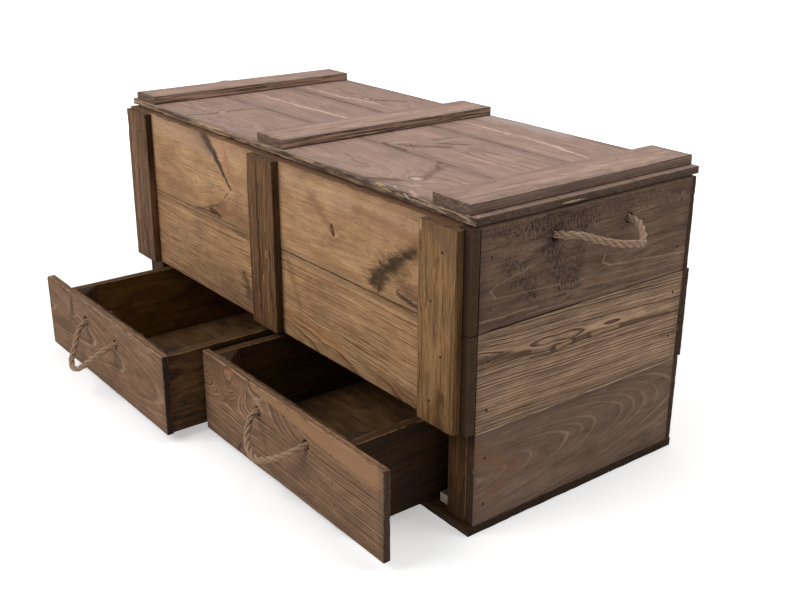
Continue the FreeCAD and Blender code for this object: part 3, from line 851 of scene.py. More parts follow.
lidLook = {
    **plainWood, "Light": (166, 136, 121), "Dark": (96, 68, 54), "Grey": (150, 126, 115),
    "Worn": (190, 160, 140), "End Grain": (94, 71, 56), "Side Tint": (182, 148, 118), "Side Dirt": 0.95,
    "Knot": (52, 34, 26), "Resin": (164, 134, 114), "Ring Contrast": 0.35, "Line Contrast": 0.16,
    "Streak Contrast": 0.35, "Thread Contrast": 1.2, "Grey Share": 0.45, "Blotch Share": 0.32, "Seam": 0.9,
    "Side Shade": 0.95, "Low Wear": 0.2, "gloss": 0.3, "sway": 0.006,
}
lidBoards = [
    {
        "Seed": 11.0, "Pith Across": -0.03, "Tilt": 0.05, "Side Reach": 0.0068,
        "knots": [(289, -150, 11, 1.3, 1.5, 0.9, 0.2, 0.55), (-281, -139, 8, 1.4, 1.2, 0.9, 0.1, 0.5)],
        "marks": [
            (278, -176, 245, -200, 14, 12, (84, 62, 50), 0.85, 1, 0.5),
            (250, -204, 305, -186, 8, 8, (94, 70, 58), 0.75),
            (292, -139, 262, -82, 11, 16, (104, 79, 67), 0.75), (262, -90, 236, -66, 6, 6, (92, 68, 56), 0.7),
            (245, -204, 120, -210, 9, 4, (72, 52, 39), 0.8), (345, -208, 245, -208, 4, 7, (66, 48, 36), 0.8),
            (287, -151, 291, -151, 9.5, 9.5, (178, 150, 134), 0.8, 0.4, 0.3),
            (288, -151, 290, -151, 5.5, 5.5, (206, 182, 166), 0.7, 0.9, 0.3),
            (320, -170, 301, -187, 2.8, 2.8, (200, 172, 154), 0.75),
            (301, -187, 276, -196, 2, 2, (196, 168, 150), 0.6),
            (270, -208, 290, -208, 3, 3, (206, 172, 122), 0.7, 0.9),
            (296, -196, 310, -202, 2.5, 2.5, (196, 168, 148), 0.7),
            (330, -194, 358, -206, 4, 5, (190, 160, 140), 0.75),
            (372, -192, 430, -208, 2.5, 3, (194, 164, 144), 0.75),
            (362, -204, 460, -211, 4, 5, (84, 62, 50), 0.75),
            (452, -200, 470, -211, 2, 2, (190, 160, 140), 0.7, 0.75),
            (470, -196, 482, -206, 1.5, 1.5, (190, 160, 140), 0.6, 0.75),
            (-294, -207, -279, -167, 3, 4, (78, 54, 43), 0.9, 0.75),
            (-279, -167, -282, -148, 4, 4, (78, 54, 43), 0.9, 0.75),
            (-284, -134, -279, -115, 4, 6, (80, 56, 44), 0.85, 0.9),
            (-279, -115, -282, -99, 6.5, 6.5, (84, 59, 47), 0.8),
            (-280, -99, -270, -92, 3, 5, (80, 56, 44), 0.8, 0.9),
            (-270, -92, -271, -68, 5, 2.5, (84, 60, 48), 0.8, 0.9),
            (-282, -141, -279, -141, 8.5, 8.5, (192, 164, 146), 0.7, 0.8, 0.3),
            (-290, -128, -298, -120, 3, 3, (190, 162, 144), 0.6),
            (-400, -125, -360, -115, 12, 12, (138, 110, 97), 0.5),
            (20, -130, 170, -105, 26, 26, (148, 117, 102), 0.55),
            (-200, -100, -80, -150, 30, 30, (138, 109, 96), 0.45),
        ],
    }, {
        "Seed": 12.0, "Pith Across": 0.02, "Tilt": -0.05, "knots": [(115, -34, 9, 1.2, 2.2, 0.9, 0.3, 0.6)],
        "marks": [
            (130, -34, 170, 10, 16, 12, (98, 73, 61), 0.8), (142, 12, 176, 45, 6, 4, (76, 55, 45), 0.85, 0.9),
            (119, 24, 124, 72, 5, 4, (104, 79, 67), 0.7), (130, 20, 140, 60, 8, 8, (182, 154, 140), 0.5),
            (85, -57, 150, -58.5, 3.5, 3.5, (56, 38, 30), 0.9, 0.75),
            (96, -48, 104, -22, 4, 4, (190, 162, 147), 0.7), (112, -42, 130, -30, 5, 5, (78, 55, 45), 0.75),
            (72, -40, 70, -16, 3, 3, (184, 156, 140), 0.6),
            (-402, -1, -242, -1, 4, 6.5, (204, 176, 156), 0.9),
            (-242, -1, -98, 10, 8, 6.5, (204, 176, 156), 0.9), (-67, 40, -54, 76, 5, 5, (96, 70, 58), 0.8),
            (-20, 20, 60, 10, 14, 14, (176, 149, 134), 0.4),
            (200, -5, 350, -8, 2.2, 2.2, (198, 164, 138), 0.7, 1, 0.5),
            (220, 12, 360, 8, 2, 2, (198, 164, 138), 0.7, 1, 0.5),
            (240, 28, 370, 24, 2, 2, (194, 160, 134), 0.6, 1, 0.5),
        ],
    }, {
        "Seed": 13.0, "Pith Across": -0.01, "Tilt": 0.06, "knots": [(-226, 139, 8, 1.5, 1.6, 0.8, 0.2, 0.6)],
        "marks": [
            (-210, 142, -160, 184, 9, 6, (84, 61, 51), 0.85),
            (-226, 139, -222, 139, 6, 6, (200, 174, 155), 0.7),
            (-390, 114, -250, 112, 4, 7, (204, 178, 158), 0.8),
            (-260, 118, -170, 128, 5, 4, (204, 178, 158), 0.75),
            (46, 152, 162, 149, 3.2, 5.5, (210, 184, 164), 0.9),
            (196, 150, 272, 146, 3, 7.5, (210, 184, 164), 0.9),
            (272, 146, 356, 132, 6.5, 3.5, (210, 184, 164), 0.9),
            (200, 105, 380, 100, 12, 12, (184, 152, 132), 0.5),
            # painted sheen: a pale hazy reflection of the backdrop along the lid's back edge
            (-80, 215, 220, 215, 30, 30, (196, 182, 176), 0.45),
        ],
    },
]
lidBattenLook = {
    **lidLook, "Light": (172, 142, 126), "Dark": (92, 66, 52), "Grey": (150, 124, 112),
    "End Grain": (132, 104, 86), "Side Tint": (176, 142, 120), "Ring Width": 0.004, "Pith Depth": 0.09,
    "Streak Contrast": 0.7, "Wear": 0.35, "shape": {"step": 0.006, "nick": 0.0014, "nickShare": 0.2},
}
hinge = {
    "middle": 0.456, "leafHalf": 0.0171, "leafDepth": (0.19626, 0.22036), "pinHalf": 0.0185,
    "pinPlace": (0.220364, 0.44995), "pinRadius": 0.004, "lid": (0.4491, 0.4513), "case": (0.4486, 0.4508),
}
raggedEdge = {"reach": 0.006, "layer": 0.0032, "depth": 0.0064, "coarse": 55, "fine": 190, "seed": 71}


def raggedFront(rest, points, low, high):
    # split laminations and small losses along the front edge
    near = 1 - rise(rest[:, 1], low[1], raggedEdge["reach"])
    layer = np.floor((rest[:, 2] - low[2]) / raggedEdge["layer"])
    keyed = np.stack([rest[:, 0], layer * 0.11, layer * 0.07], axis=1)
    coarse = lumps(keyed, (raggedEdge["coarse"], 9, 9), raggedEdge["seed"])
    fine = lumps(keyed, (raggedEdge["fine"], 9, 9), raggedEdge["seed"] + 1)
    points[:, 1] += near * np.clip(coarse * 0.6 + fine * 0.4 - 0.2, 0, 1) * raggedEdge["depth"]


def hingeCutters(name, part):
    cutters = []
    for side in (-1, 1):
        middle = side * hinge["middle"]
        leaf = (middle - hinge["leafHalf"], middle + hinge["leafHalf"])
        block = meshPiece(f"{name}Leaf{side}", *boxGrid(leaf, hinge["leafDepth"], hinge[part]))
        start = (middle - hinge["pinHalf"], *hinge["pinPlace"])
        groove = [(length, hinge["pinRadius"]) for length in (0, 2 * hinge["pinHalf"])]
        cutters += [block, turned(f"{name}Groove{side}", start, (1, 0, 0), groove)]
    return cutters


for number, own in enumerate(lidBoards, 1):
    makeBoard(
        f"lidBoard{number}", f"lid_board_{number}", "lid", "lid_board", "x", "+z",
        {**lidLook, **own, "shape": {"step": 0.004 if number == 1 else 0.008}},
        cutters=hingeCutters("lid", "lid") if number == 3 else (),
        reshape=raggedFront if number == 1 else None,
    )

edgeLump = {"middle": -0.022, "spread": 0.010, "reach": 0.012, "top": 0.006, "inward": 0.0022, "down": 0.0016}


def lumpy(rest, points, low, high):  # one raised lump: the outer edge is worn back on both sides of it
    flat = 1 - np.exp(-((rest[:, 1] - edgeLump["middle"]) / edgeLump["spread"]) ** 2)
    outer = 1 - rise(rest[:, 0], low[0], edgeLump["reach"])
    upper = rise(rest[:, 2], high[2] - edgeLump["top"], edgeLump["top"])
    points[:, 0] += edgeLump["inward"] * outer * flat
    points[:, 2] -= edgeLump["down"] * upper * outer * flat


for number, side in enumerate(("left", "centre", "right")):
    own = {"Side Tint": (122, 98, 84), "Side Dirt": 0.4} if side == "right" else {}
    makeBoard(
        f"{side}LidBatten", f"lid_batten_{side}", "lid", "lid_board", "y", "+z",
        {**lidBattenLook, **own, "Seed": 21.0 + number}, reshape=lumpy if side == "left" else None,
    )
print("lid done")


# Front of the case

frontLook = {
    **plainWood, "Light": (192, 152, 111), "Dark": (108, 70, 40), "Grey": (152, 114, 84),
    "Worn": (204, 166, 124), "Side Tint": (112, 80, 54), "Side Dirt": 0.5, "Side Shade": 0.9,
    "End Grain": (62, 44, 30), "Resin": (128, 76, 42), "Ring Contrast": 0.45, "Line Contrast": 0.25,
    "Grey Share": 0.5, "Blotch Share": 0.4, "Wear": 0.15, "Low Wear": 0.2, "Seam": 0.85, "Ring Width": 0.0048,
    "Thread Contrast": 2.2, "shape": {"step": 0.007},
}
frontBoards = {
    "upper": {
        # its dark side tint paints shade onto the top ledge under the lid, with some dark torn fibre
        "Seed": 31.0, "sway": 0.006, "Side Tint": (72, 50, 34), "Pith Across": -0.02, "Pith Depth": 0.03,
        "Tilt": 0.03, "Streak Contrast": 0.2, "Ring Contrast": 0.25, "Thread Contrast": 1.5,
        "Blotch Share": 0.45,
        "knots": [(-160, 322, 10, 1.5, 1.8, 0.1, 0.2, 0.15), (182, 373, 5, 0.8, 1.6, 0.2, 0.3, 0.6)],
        "marks": [
            (-390, 438, -80, 425, 34, 28, (204, 168, 138), 0.45),
            (60, 425, 400, 420, 26, 26, (204, 168, 138), 0.4),
            (-235, 455, -185, 418, 36, 20, (138, 108, 88), 0.7, 1, 0.4),
            (-208, 455, -160, 410, 19, 10, (66, 47, 36), 0.9, 0.8, 0.4),
            (-164, 418, -140, 390, 11, 8, (62, 43, 31), 0.95, 0.8, 0.4),
            (-140, 390, -118, 369, 6.5, 5, (60, 38, 25), 0.95, 0.9, 0.4),
            (-150, 450, -129, 414, 14, 14, (188, 138, 104), 0.75, 0.5, 0.4),
            (-129, 414, -110, 384, 12, 7, (168, 120, 89), 0.7, 0.6, 0.4),
            (-139, 450, -126, 420, 3, 2, (120, 84, 62), 0.6),
            (-110, 440, -60, 425, 20, 20, (158, 116, 88), 0.4),
            (-242, 308, -181, 311, 3, 5, (82, 55, 37), 0.8, 0.9),
            (-190, 316, -158, 311, 9, 6, (62, 40, 26), 0.85, 0.9),
            (-172, 320, -120, 352, 5, 5, (104, 70, 46), 0.4),
            (-156, 334, -128, 360, 3, 4, (92, 62, 42), 0.55),
            (-150, 318, -112, 328, 13, 13, (140, 98, 70), 0.65),
            (-420, 345, -240, 328, 18, 12, (142, 100, 70), 0.55, 0.95),
            (-400, 400, -300, 385, 16, 12, (150, 108, 78), 0.4),
            (-100, 330, -40, 318, 26, 22, (124, 88, 64), 0.6, 0.95),
            (-440, 304.5, -60, 304.5, 3, 3, (148, 113, 82), 0.75, 0.5, 0.3),
            (385, 392, 290, 325, 26, 34, (112, 84, 56), 0.7, 1, 0.6),
            (376, 392, 330, 362, 13, 17, (52, 37, 22), 0.95, 1, 0.7),
            (330, 362, 284, 325, 17, 19, (58, 42, 24), 0.95, 1, 0.7),
            (306, 345, 297, 312, 16, 11, (62, 44, 28), 0.85), (350, 335, 430, 308, 22, 16, (96, 66, 44), 0.7),
            (340, 320, 430, 307, 8, 5, (58, 38, 24), 0.85),
            (-215, 314, -165, 330, 3, 3, (60, 38, 24), 0.8, 0.75, 0.8, 0.6),
            (130, 410, 176, 378, 22, 12, (138, 94, 66), 0.6),
            (181, 379, 185, 368, 4.2, 5.2, (48, 29, 17), 0.9, 0.4, 0.3),
            (182.5, 376, 183.5, 371, 1.8, 2.4, (142, 102, 70), 0.85, 0.6, 0.2),
            (240, 420, 410, 405, 12, 22, (138, 96, 66), 0.6, 0.95),
            (60, 335, 250, 315, 16, 12, (146, 104, 74), 0.5),
            (184.5, 370.5, 185, 369, 1.8, 1.8, (40, 24, 14), 0.8, 0.9),
            # painted shade: a dark strip along the board's top, under the lid's front edge
            (-480, 449.5, 480, 449.5, 3, 3, (96, 67, 44), 0.8, 0.8, 0.5),
            # dark strip beside the right batten: dark stain, and painted shade cast by the batten
            (481, 300, 481, 460, 20, 20, (46, 31, 19), 0.95, 0.4, 0.2),
        ],
    }, "lower": {
        "Seed": 32.0, "Pith Across": -0.075, "Pith Depth": 0.03, "Tilt": 0.05, "Slope": 0.02,
        "Ring Width": 0.0036, "Ring Contrast": 1.0, "Line Contrast": 0.4, "marks": [
            (-84, 226, -72, 190, 14, 18, (70, 48, 34), 0.75),
            (-160, 185, -50, 180, 20, 26, (116, 90, 72), 0.6, 0.9),
            (-120, 298, -50, 296, 6, 10, (92, 62, 40), 0.6, 0.75),
            (60, 200, 200, 190, 20, 16, (172, 122, 76), 0.4),
            (300, 178, 400, 175, 16, 20, (120, 84, 56), 0.55), (55, 290, 90, 220, 10, 12, (128, 92, 62), 0.5),
            (-440, 304.4, -60, 304.4, 3, 3, (148, 113, 82), 0.75, 0.5, 0.3),
            # dark strip beside the right batten: dark stain, and painted shade cast by the batten
            (481, 150, 481, 310, 20, 20, (46, 31, 19), 0.95, 0.4, 0.2),
        ],
    },
}
greyBattenLook = {
    **plainWood, "Light": (124, 88, 56), "Dark": (48, 29, 16), "Grey": (88, 62, 42), "Worn": (150, 116, 82),
    "Side Tint": (76, 52, 32), "Side Dirt": 0.8, "End Grain": (104, 82, 62), "Ring Width": 0.004,
    "Pith Depth": 0.09, "Pith Across": 0.05, "Line Contrast": 0.25, "Streak Contrast": 1.5,
    "Thread Contrast": 3.4, "Wear": 0.25, "Side Shade": 0.9, "shape": {"step": 0.006, "nick": 0.003},
}
frontBattens = {
    "left": {
        "Seed": 41.0, "Light": (134, 97, 68), "Dark": (52, 31, 17), "Grey": (106, 80, 60),
        "Side Tint": (52, 30, 12), "marks": [
            (460, -424, 140, -424, 22, 22, (78, 54, 37), 0.65),
            (460, -458, 240, -460, 6, 6, (160, 126, 96), 0.5),
            (420, -440, 200, -442, 2.5, 2.5, (56, 37, 24), 0.7, 0.75),
        ],
    }, "centre": {
        "Seed": 42.0, "Side Tint": (84, 62, 34), "Streak Contrast": 1.0, "Thread Contrast": 4.2, "marks": [
            (440, -6, 180, -10, 4, 4, (40, 24, 13), 0.8, 0.9), (420, 14, 330, 12, 3, 3, (146, 112, 76), 0.5),
            (400, -28, 240, -28, 3, 3, (140, 106, 72), 0.45),
            (300, 26, 200, 26, 4, 4, (46, 29, 16), 0.7, 0.9), (240, 16, 165, 14, 5, 5, (150, 114, 72), 0.45),
            (296, 14, 286, 14, 2.2, 2.2, (190, 150, 104), 0.75, 0.75),
            (252, 4, 244, 4, 2, 2, (184, 146, 102), 0.7, 0.75),
        ],
    }, "right": {
        "Seed": 43.0, "Pith Across": -0.05, "Ring Width": 0.006, "Streak Contrast": 0.7, "Ring Contrast": 0.2,
        "Line Contrast": 0.1, "Light": (154, 116, 75), "Dark": (58, 37, 19), "Grey": (114, 83, 54),
        "Thread Contrast": 4.0, "Worn": (172, 136, 92), "Side Tint": (114, 80, 44), "marks": [
            (452, 415, 425, 460, 16, 30, (104, 80, 60), 0.7),
            (448, 406, 436, 406, 4, 4, (190, 156, 114), 0.6, 0.75),
            (450, 398.5, 150, 398.5, 3, 3, (84, 57, 33), 0.7, 0.75),
            (400, 440, 280, 437, 8, 8, (86, 60, 36), 0.6),
            (400, 418, 330, 418, 2, 2, (62, 42, 24), 0.7, 0.75),
            (210, 450, 150, 448, 18, 18, (54, 36, 20), 0.7), (235, 425, 150, 428, 8, 8, (72, 49, 28), 0.6),
            (280, 432, 200, 432, 12, 12, (158, 124, 84), 0.45), (340, 471, 160, 471, 4, 4, (92, 66, 38), 0.7),
        ],
    },
}
footLean = 0.004


def leaning(rest, points, low, high):  # the foot of the batten stands a little outwards
    points[:, 0] -= footLean * (high[2] - rest[:, 2]) / (high[2] - low[2])


for level, own in frontBoards.items():
    look = {**frontLook, **own}
    makeBoard(f"{level}FrontBoard", f"front_board_{level}", "case", "warm_board", "x", "-y", look)
for side, own in frontBattens.items():
    slot = "warm_board" if side == "right" else "grey_batten"
    makeBoard(
        f"{side}FrontBatten", f"front_batten_{side}", "case", slot, "z", "-y", {**greyBattenLook, **own},
        reshape=leaning if side == "left" else None,
    )
print("front done")


# Ends, posts and back

endLook = {
    **plainWood, "Light": (122, 94, 74), "Dark": (64, 45, 33), "Grey": (96, 77, 64), "Worn": (186, 158, 132),
    "End Grain": (66, 44, 28), "Line Tint": (156, 130, 108), "Ring Contrast": 0.4, "Line Contrast": 0.75,
    "Grey Share": 0.4, "Blotch Share": 0.35, "Wear": 0.35, "Low Wear": 0.1, "Seam": 0.5, "sway": 0.005,
    "shape": {"step": 0.007},
}
endBoards = {
    "upper": {
        "Pith Across": -0.05, "Pith Depth": 0.045, "Tilt": -0.08, "Ring Width": 0.013, "Blotch Share": 0.6,
        "Line Contrast": 0.3, "Ripple": 0.012, "Light": (114, 88, 72), "Dark": (56, 39, 29),
        "Grey": (90, 72, 61), "Speckle": 1.0, "Streak Contrast": 0.8, "Thread Contrast": 2.6, "Seam": 0.9,
        "Wear": 0.18, "marks": [
            (-150, 436, 0, 425, 22, 18, (44, 31, 23), 0.8, 0.75, 1, 0.9),
            (-75, 410, -50, 335, 36, 30, (42, 29, 21), 0.85, 0.75, 1, 0.8),
            (-145, 385, -110, 340, 30, 22, (44, 31, 23), 0.8, 0.75, 1, 0.9),
            (-20, 425, -30, 340, 16, 16, (42, 29, 22), 0.8, 0.75, 1, 0.8),
            (-190, 440, 200, 430, 20, 20, (50, 36, 28), 0.5, 0.75, 1, 1),
            (-188, 360.5, -178, 349, 2.6, 2.6, (146, 122, 102), 0.6, 1, 0.35),
            (-188, 360.5, -176, 369, 2.5, 2.5, (144, 120, 100), 0.55, 1, 0.35),
            (-176, 369, -125, 377, 2.4, 2.4, (142, 118, 98), 0.45, 1, 0.35),
            (-178, 349, -60, 343, 2.2, 2.2, (140, 116, 98), 0.55, 1, 0.4),
            (-165, 356, -130, 352, 6, 6, (114, 88, 70), 0.5, 1, 0.6),
            (28, 366, 24, 356, 2.6, 2.6, (152, 128, 106), 0.75, 1, 0.2),
            (24, 356, 40, 349, 2.4, 2.4, (152, 128, 106), 0.75, 1, 0.2),
            (40, 349, 215, 334, 2.2, 2.2, (150, 126, 104), 0.65, 1, 0.35),
            (28, 366, 150, 356, 1.4, 1.4, (140, 116, 96), 0.5, 1, 0.4),
            (-205, 322, -100, 320, 2.1, 2.1, (148, 124, 102), 0.7, 1, 0.3),
            (-120, 313, 200, 308, 2, 2, (144, 120, 98), 0.55, 1, 0.35),
            (-80, 330, 205, 318, 2, 2, (142, 118, 98), 0.6, 1, 0.35),
            (-20, 340, 200, 327, 1.8, 1.8, (142, 118, 98), 0.5, 1, 0.35),
            # painted shadow of the rope, falling forwards and down from the front hole
            (-75, 409, -130, 388, 8, 8, (44, 32, 25), 0.55),
        ],
    }, "middle": {
        "Pith Across": 0.027, "Pith Depth": 0.006, "Tilt": 0.008, "Slope": -0.045, "Wander": 0.008,
        "Ring Width": 0.0031, "Sweep": 0.008, "Ripple": 0.002, "Ring Contrast": 1.5, "Line Contrast": 0.6,
        "Line Tint": (48, 31, 22), "Light": (184, 150, 121), "Dark": (60, 41, 29), "Worn": (184, 156, 126),
        "Grey Share": 0.2, "Seam": 0.3, "marks": [
            (-208, 266, -110, 256, 11, 5, (76, 53, 38), 0.85, 0.75, 0.4),
            (-160, 268, -100, 260, 1.8, 1.8, (168, 138, 106), 0.6, 1, 0.4),
            (-66, 248, -26, 250, 7.5, 6.5, (72, 50, 36), 0.8, 0.5, 0.4),
            (-58, 248, -32, 250, 4.5, 4, (166, 132, 98), 0.8, 0.8, 0.4),
            (-24, 250.5, 2, 250.5, 6, 4, (86, 61, 44), 0.8, 0.75, 0.4),
            (6, 249, 76, 248.5, 7.5, 6, (74, 52, 38), 0.75, 0.5, 0.4),
            (14, 249, 68, 248.5, 4.8, 4, (162, 130, 98), 0.75, 0.8, 0.4),
            (78, 248, 186, 241, 6.5, 4, (84, 60, 44), 0.8, 0.75, 0.4),
            (-110, 246, -70, 243, 4, 4, (90, 65, 48), 0.7, 0.75, 0.4),
        ],
    }, "lower": {
        "Pith Across": 0.012, "Pith Depth": 0.036, "Tilt": 0.17, "Slope": 0.06, "Wander": 0.002,
        "Ring Width": 0.0063, "Sweep": 0.008, "Ripple": 0.003, "Light": (122, 97, 81), "Dark": (72, 53, 42),
        "Line Contrast": 0.85, "Thread Contrast": 2.2, "Wear": 0.3, "Wear Reach": 0.002, "Seam": 0.0,
        "marks": [
            (-205, 158.2, 205, 158.2, 1.6, 1.6, (200, 172, 144), 0.85, 0.9, 0.3),
            (-200, 125, -120, 85, 30, 20, (120, 84, 58), 0.5),
            (-190, 50, -140, 70, 16, 20, (110, 76, 54), 0.5),
        ],
    },
}
seamHollow = {"depth": 0.0016, "height": 0.012, "back": (-0.02, 0.09), "front": (-0.205, 0.02)}


def openedSeam(rest, points, low, high):  # the lower edge is hollow towards the front
    share = rise(-rest[:, 1], *seamHollow["back"]) * rise(rest[:, 1], *seamHollow["front"])
    points[:, 2] += seamHollow["depth"] * share * (1 - rise(rest[:, 2], low[2], seamHollow["height"]))


for side, way in (("left", -1), ("right", 1)):
    for number, (level, own) in enumerate(endBoards.items()):
        look = {**endLook, **own, "Seed": (56.0 if way < 0 else 51.0) + number}
        if way < 0:
            look["marks"] = look["marks"][:1]
        upper = level == "upper"
        makeBoard(
            f"{side}{level.capitalize()}EndBoard", f"{side}_end_board_{level}", "case", "grey_board", "y",
            ("-" if way < 0 else "+") + "x", look, reshape=openedSeam if upper else None,
            cutters=ropeHoles(f"{side}End", endRopes[side], (way, 0, 0), 0.014) if upper else (),
        )

darkLook = {
    **plainWood, "Light": (84, 56, 29), "Dark": (34, 20, 9), "Grey": (58, 40, 24), "Worn": (142, 108, 74),
    "End Grain": (44, 30, 18), "Side Tint": (74, 52, 32), "Side Shade": 0.5, "Streak Contrast": 1.0,
    "Thread Contrast": 2.2, "Blotch Share": 0.8, "Wear": 0.5, "Low Wear": 0.2, "Speckle": 0.9,
    "shape": {"step": 0.012},
}
for number, (place, side) in enumerate(itertools.product(("front", "back"), ("left", "right")), 1):
    makeBoard(
        f"{place}{side.capitalize()}Post", f"{place}_{side}_post", "case", "dark_frame", "z",
        ("-" if place == "front" else "+") + "y", {**darkLook, "Seed": 61.0 + number},
        cutters=hingeCutters(f"{place}{side}", "case") if place == "back" else (),
    )
backBoards = {
    "lower": {"Pith Across": -0.06, "Tilt": 0.02, "Ring Contrast": 0.7, "Line Contrast": 0.4}, "middle": {
        "Pith Across": 0.01, "Pith Depth": 0.06, "Tilt": -0.02, "Light": (128, 102, 82), "Line Contrast": 0.3,
    },
    "upper": {"Pith Across": 0.05, "Tilt": 0.06, "Slope": 0.04, "Light": (116, 90, 73), "Blotch Share": 0.5},
}
for number, (level, own) in enumerate(backBoards.items()):
    cutters = hingeCutters("back", "case") if level == "upper" else ()
    look = {**endLook, **own, "Seed": 71.0 + number}
    node = f"back_board_{level}"
    makeBoard(f"{level}BackBoard", node, "case", "grey_board", "x", "+y", look, cutters=cutters)
for number in range(1, 5):
    look = {**darkLook, "Seed": 81.0 + number}
    makeBoard(f"floorPlank{number}", f"floor_plank_{number}", "case", "grey_board", "x", "-z", look)
print("ends, posts, back and floor done")


# Inside of the case

floorLook = {**plainWood, "Seed": 91.0, "shape": {"step": 0.02}}
# The guides' ends: end grain and dirt tints raised to near white, their own pale colour plus painted light on
# ends that sit in shade
guideLookWithPaintedLight = {
    **darkLook, "Seed": 94.0, "Light": (150, 120, 92), "Dark": (90, 66, 46), "End Grain": (255, 246, 232),
    "Dirt": (206, 188, 166),
}
makeBoard("compartmentFloor", "compartment_floor", "case", "dark_frame", "x", "+z", floorLook)
makeBoard("drawerDivider", "drawer_divider", "case", "dark_frame", "y", "+x", {**darkLook, "Seed": 92.0})


def makePair(piece, node, width, look):
    low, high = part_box(node)
    for side, start in (("left", low[0]), ("right", high[0] - width)):
        box = ((start, low[1], low[2]), (start + width, high[1], high[2]))
        makeBoard(side + piece, node, "case", "dark_frame", "y", "+z", look, box=box)


makePair("Cleat", "compartment_cleats", 0.020, {**darkLook, "Seed": 93.0})
makePair("Guide", "drawer_guides", 0.028, guideLookWithPaintedLight)
print("inner frame done")


# Drawers

drawerLook = {
    **plainWood, "Light": (136, 101, 75), "Dark": (60, 40, 26), "Grey": (104, 80, 62),
    "Worn": (186, 152, 120), "Line Tint": (160, 126, 98), "End Grain": (70, 54, 42),
    "Side Tint": (134, 103, 78), "Side Shade": 0.9, "Side Dirt": 0.75, "Ring Contrast": 0.9,
    "Line Contrast": 0.9, "Blotch Share": 0.5, "Thread Contrast": 2.0, "Wear": 0.6, "Wear Reach": 0.003,
    "Low Wear": 0.2, "Seam": 0.1, "shape": {"step": 0.006, "rounding": 0.0016, "nick": 0.003},
}
drawers = {
    "left": {
        "Seed": 101.0, "sway": 0.006, "Pith Across": 0.0, "Pith Depth": 0.046, "Tilt": 0.09, "Slope": -0.03,
        "Ring Width": 0.0078, "Streak Contrast": 0.3, "End Grain": (26, 18, 12), "Line Tint": (184, 150, 122),
        "Ring Contrast": 0.8, "Line Contrast": 0.62, "knots": [(-373, 125, 9, 0.6, 1.6, 0.3, 0.3, 0.3)],
        "marks": [
            (-370, 148, -376, 108, 8, 12, (70, 50, 38), 0.8, 1, 0.5),
            (-372, 132, -372, 118, 3, 3, (42, 29, 20), 0.7),
            (-450, 110, -400, 128, 12, 12, (128, 98, 78), 0.5),
            (-200, 149, -50, 147, 6, 6, (156, 124, 98), 0.5),
        ],
    }, "right": {
        "Seed": 111.0, "sway": 0.005, "Pith Across": 0.13, "Pith Depth": 0.03, "Tilt": 0.03, "Slope": -0.03,
        "Ring Width": 0.0052, "Light": (138, 102, 75), "Dark": (56, 37, 25), "Ring Contrast": 1.5,
        "Line Contrast": 1.0, "Line Tint": (194, 162, 132), "Sweep": 0.02, "Ripple": 0.0022,
        "Streak Contrast": 0.3, "Thread Contrast": 1.5,
        "knots": [(84, 150, 18, 1.1, 5.2, 0, 0.2, 0, 0.15), (195, 155, 18, 1.8, 2.6, 0, 0, 0, 0.2)],
        "marks": [
            (160, 147.5, 460, 136, 5, 27, (160, 120, 85), 0.75, 0.6, 0.5),
            (78, 142, 98, 148, 8, 8, (166, 114, 86), 0.6), (108, 22, 118, 34, 6, 6, (56, 38, 28), 0.8),
            (367, 127, 368, 123.5, 1.4, 1.4, (40, 26, 18), 0.95, 0.5, 0.2),
            (368, 85.5, 369, 82, 1.4, 1.4, (40, 26, 18), 0.95, 0.5, 0.2),
            (372, 51, 373, 47.5, 1.4, 1.4, (40, 26, 18), 0.95, 0.5, 0.2),
        ],
    },
}
roundedCorner = {"reach": 0.013, "drop": 0.0008}


def wornCorner(rest, points, low, high):  # the outer top corner is rounded off
    reach = roundedCorner["reach"]
    near = 1 - rise(points[:, 0], low[0], reach)
    top = high[2] - reach * (1 - np.sqrt(np.clip(1 - near ** 2, 0, 1))) - roundedCorner["drop"]
    points[:, 2] = np.minimum(points[:, 2], top)


splinterRow = {
    "count": 7, "start": 0.338, "step": 0.0035, "depth": (0.003, 0.009), "lean": (-0.9, 0.3),
    "length": (0.003, 0.0075), "sunk": 0.0022, "foot": 0.0013, "middle": 0.0008,
}


def splinters(seed):  # torn slivers on the right front's upper edge
    chance = random.Random(seed)
    low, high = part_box("right_drawer_front")
    points = []
    faces = []
    for number in range(splinterRow["count"]):
        x = splinterRow["start"] + splinterRow["step"] * number + chance.uniform(-0.001, 0.001)
        y = low[1] + chance.uniform(*splinterRow["depth"])
        lean = chance.uniform(*splinterRow["lean"])
        length = chance.uniform(*splinterRow["length"])
        foot = Vector((x, y, high[2] - splinterRow["sunk"]))
        tip = foot + Vector((lean * length, chance.uniform(-0.3, 0.3) * length, length))
        middle = foot.lerp(tip, 0.55) + Vector((0.0004, 0, 0))
        base = len(points)
        for spot, width in ((foot, splinterRow["foot"]), (middle, splinterRow["middle"])):
            points += [spot + Vector((a * width, b * width, 0)) for a, b in ((-1, -0.5), (1, -0.5), (0, 0.7))]
        points.append(tip)
        faces += [(base + 2, base + 1, base)]
        for a, b in ((0, 1), (1, 2), (2, 0)):
            faces.append((base + a, base + b, base + 3 + b, base + 3 + a))
            faces.append((base + 3 + a, base + 3 + b, base + 6))
    piece = meshPiece("rightFrontSplinters", points, faces, 30)
    look = {**drawerLook, "Seed": 119.0, "Light": (196, 164, 128), "Dark": (120, 90, 64), "Side Shade": 0.0}
    declare(piece, woodMaterial("splinterWood", low, high, "x", "-y", look), "right_drawer", "drawer_board")


sliverProfile = ((0, 0.0003), (0.13, 0.0014), (0.4, 0.0021), (0.75, 0.0016), (1, 0.0003))
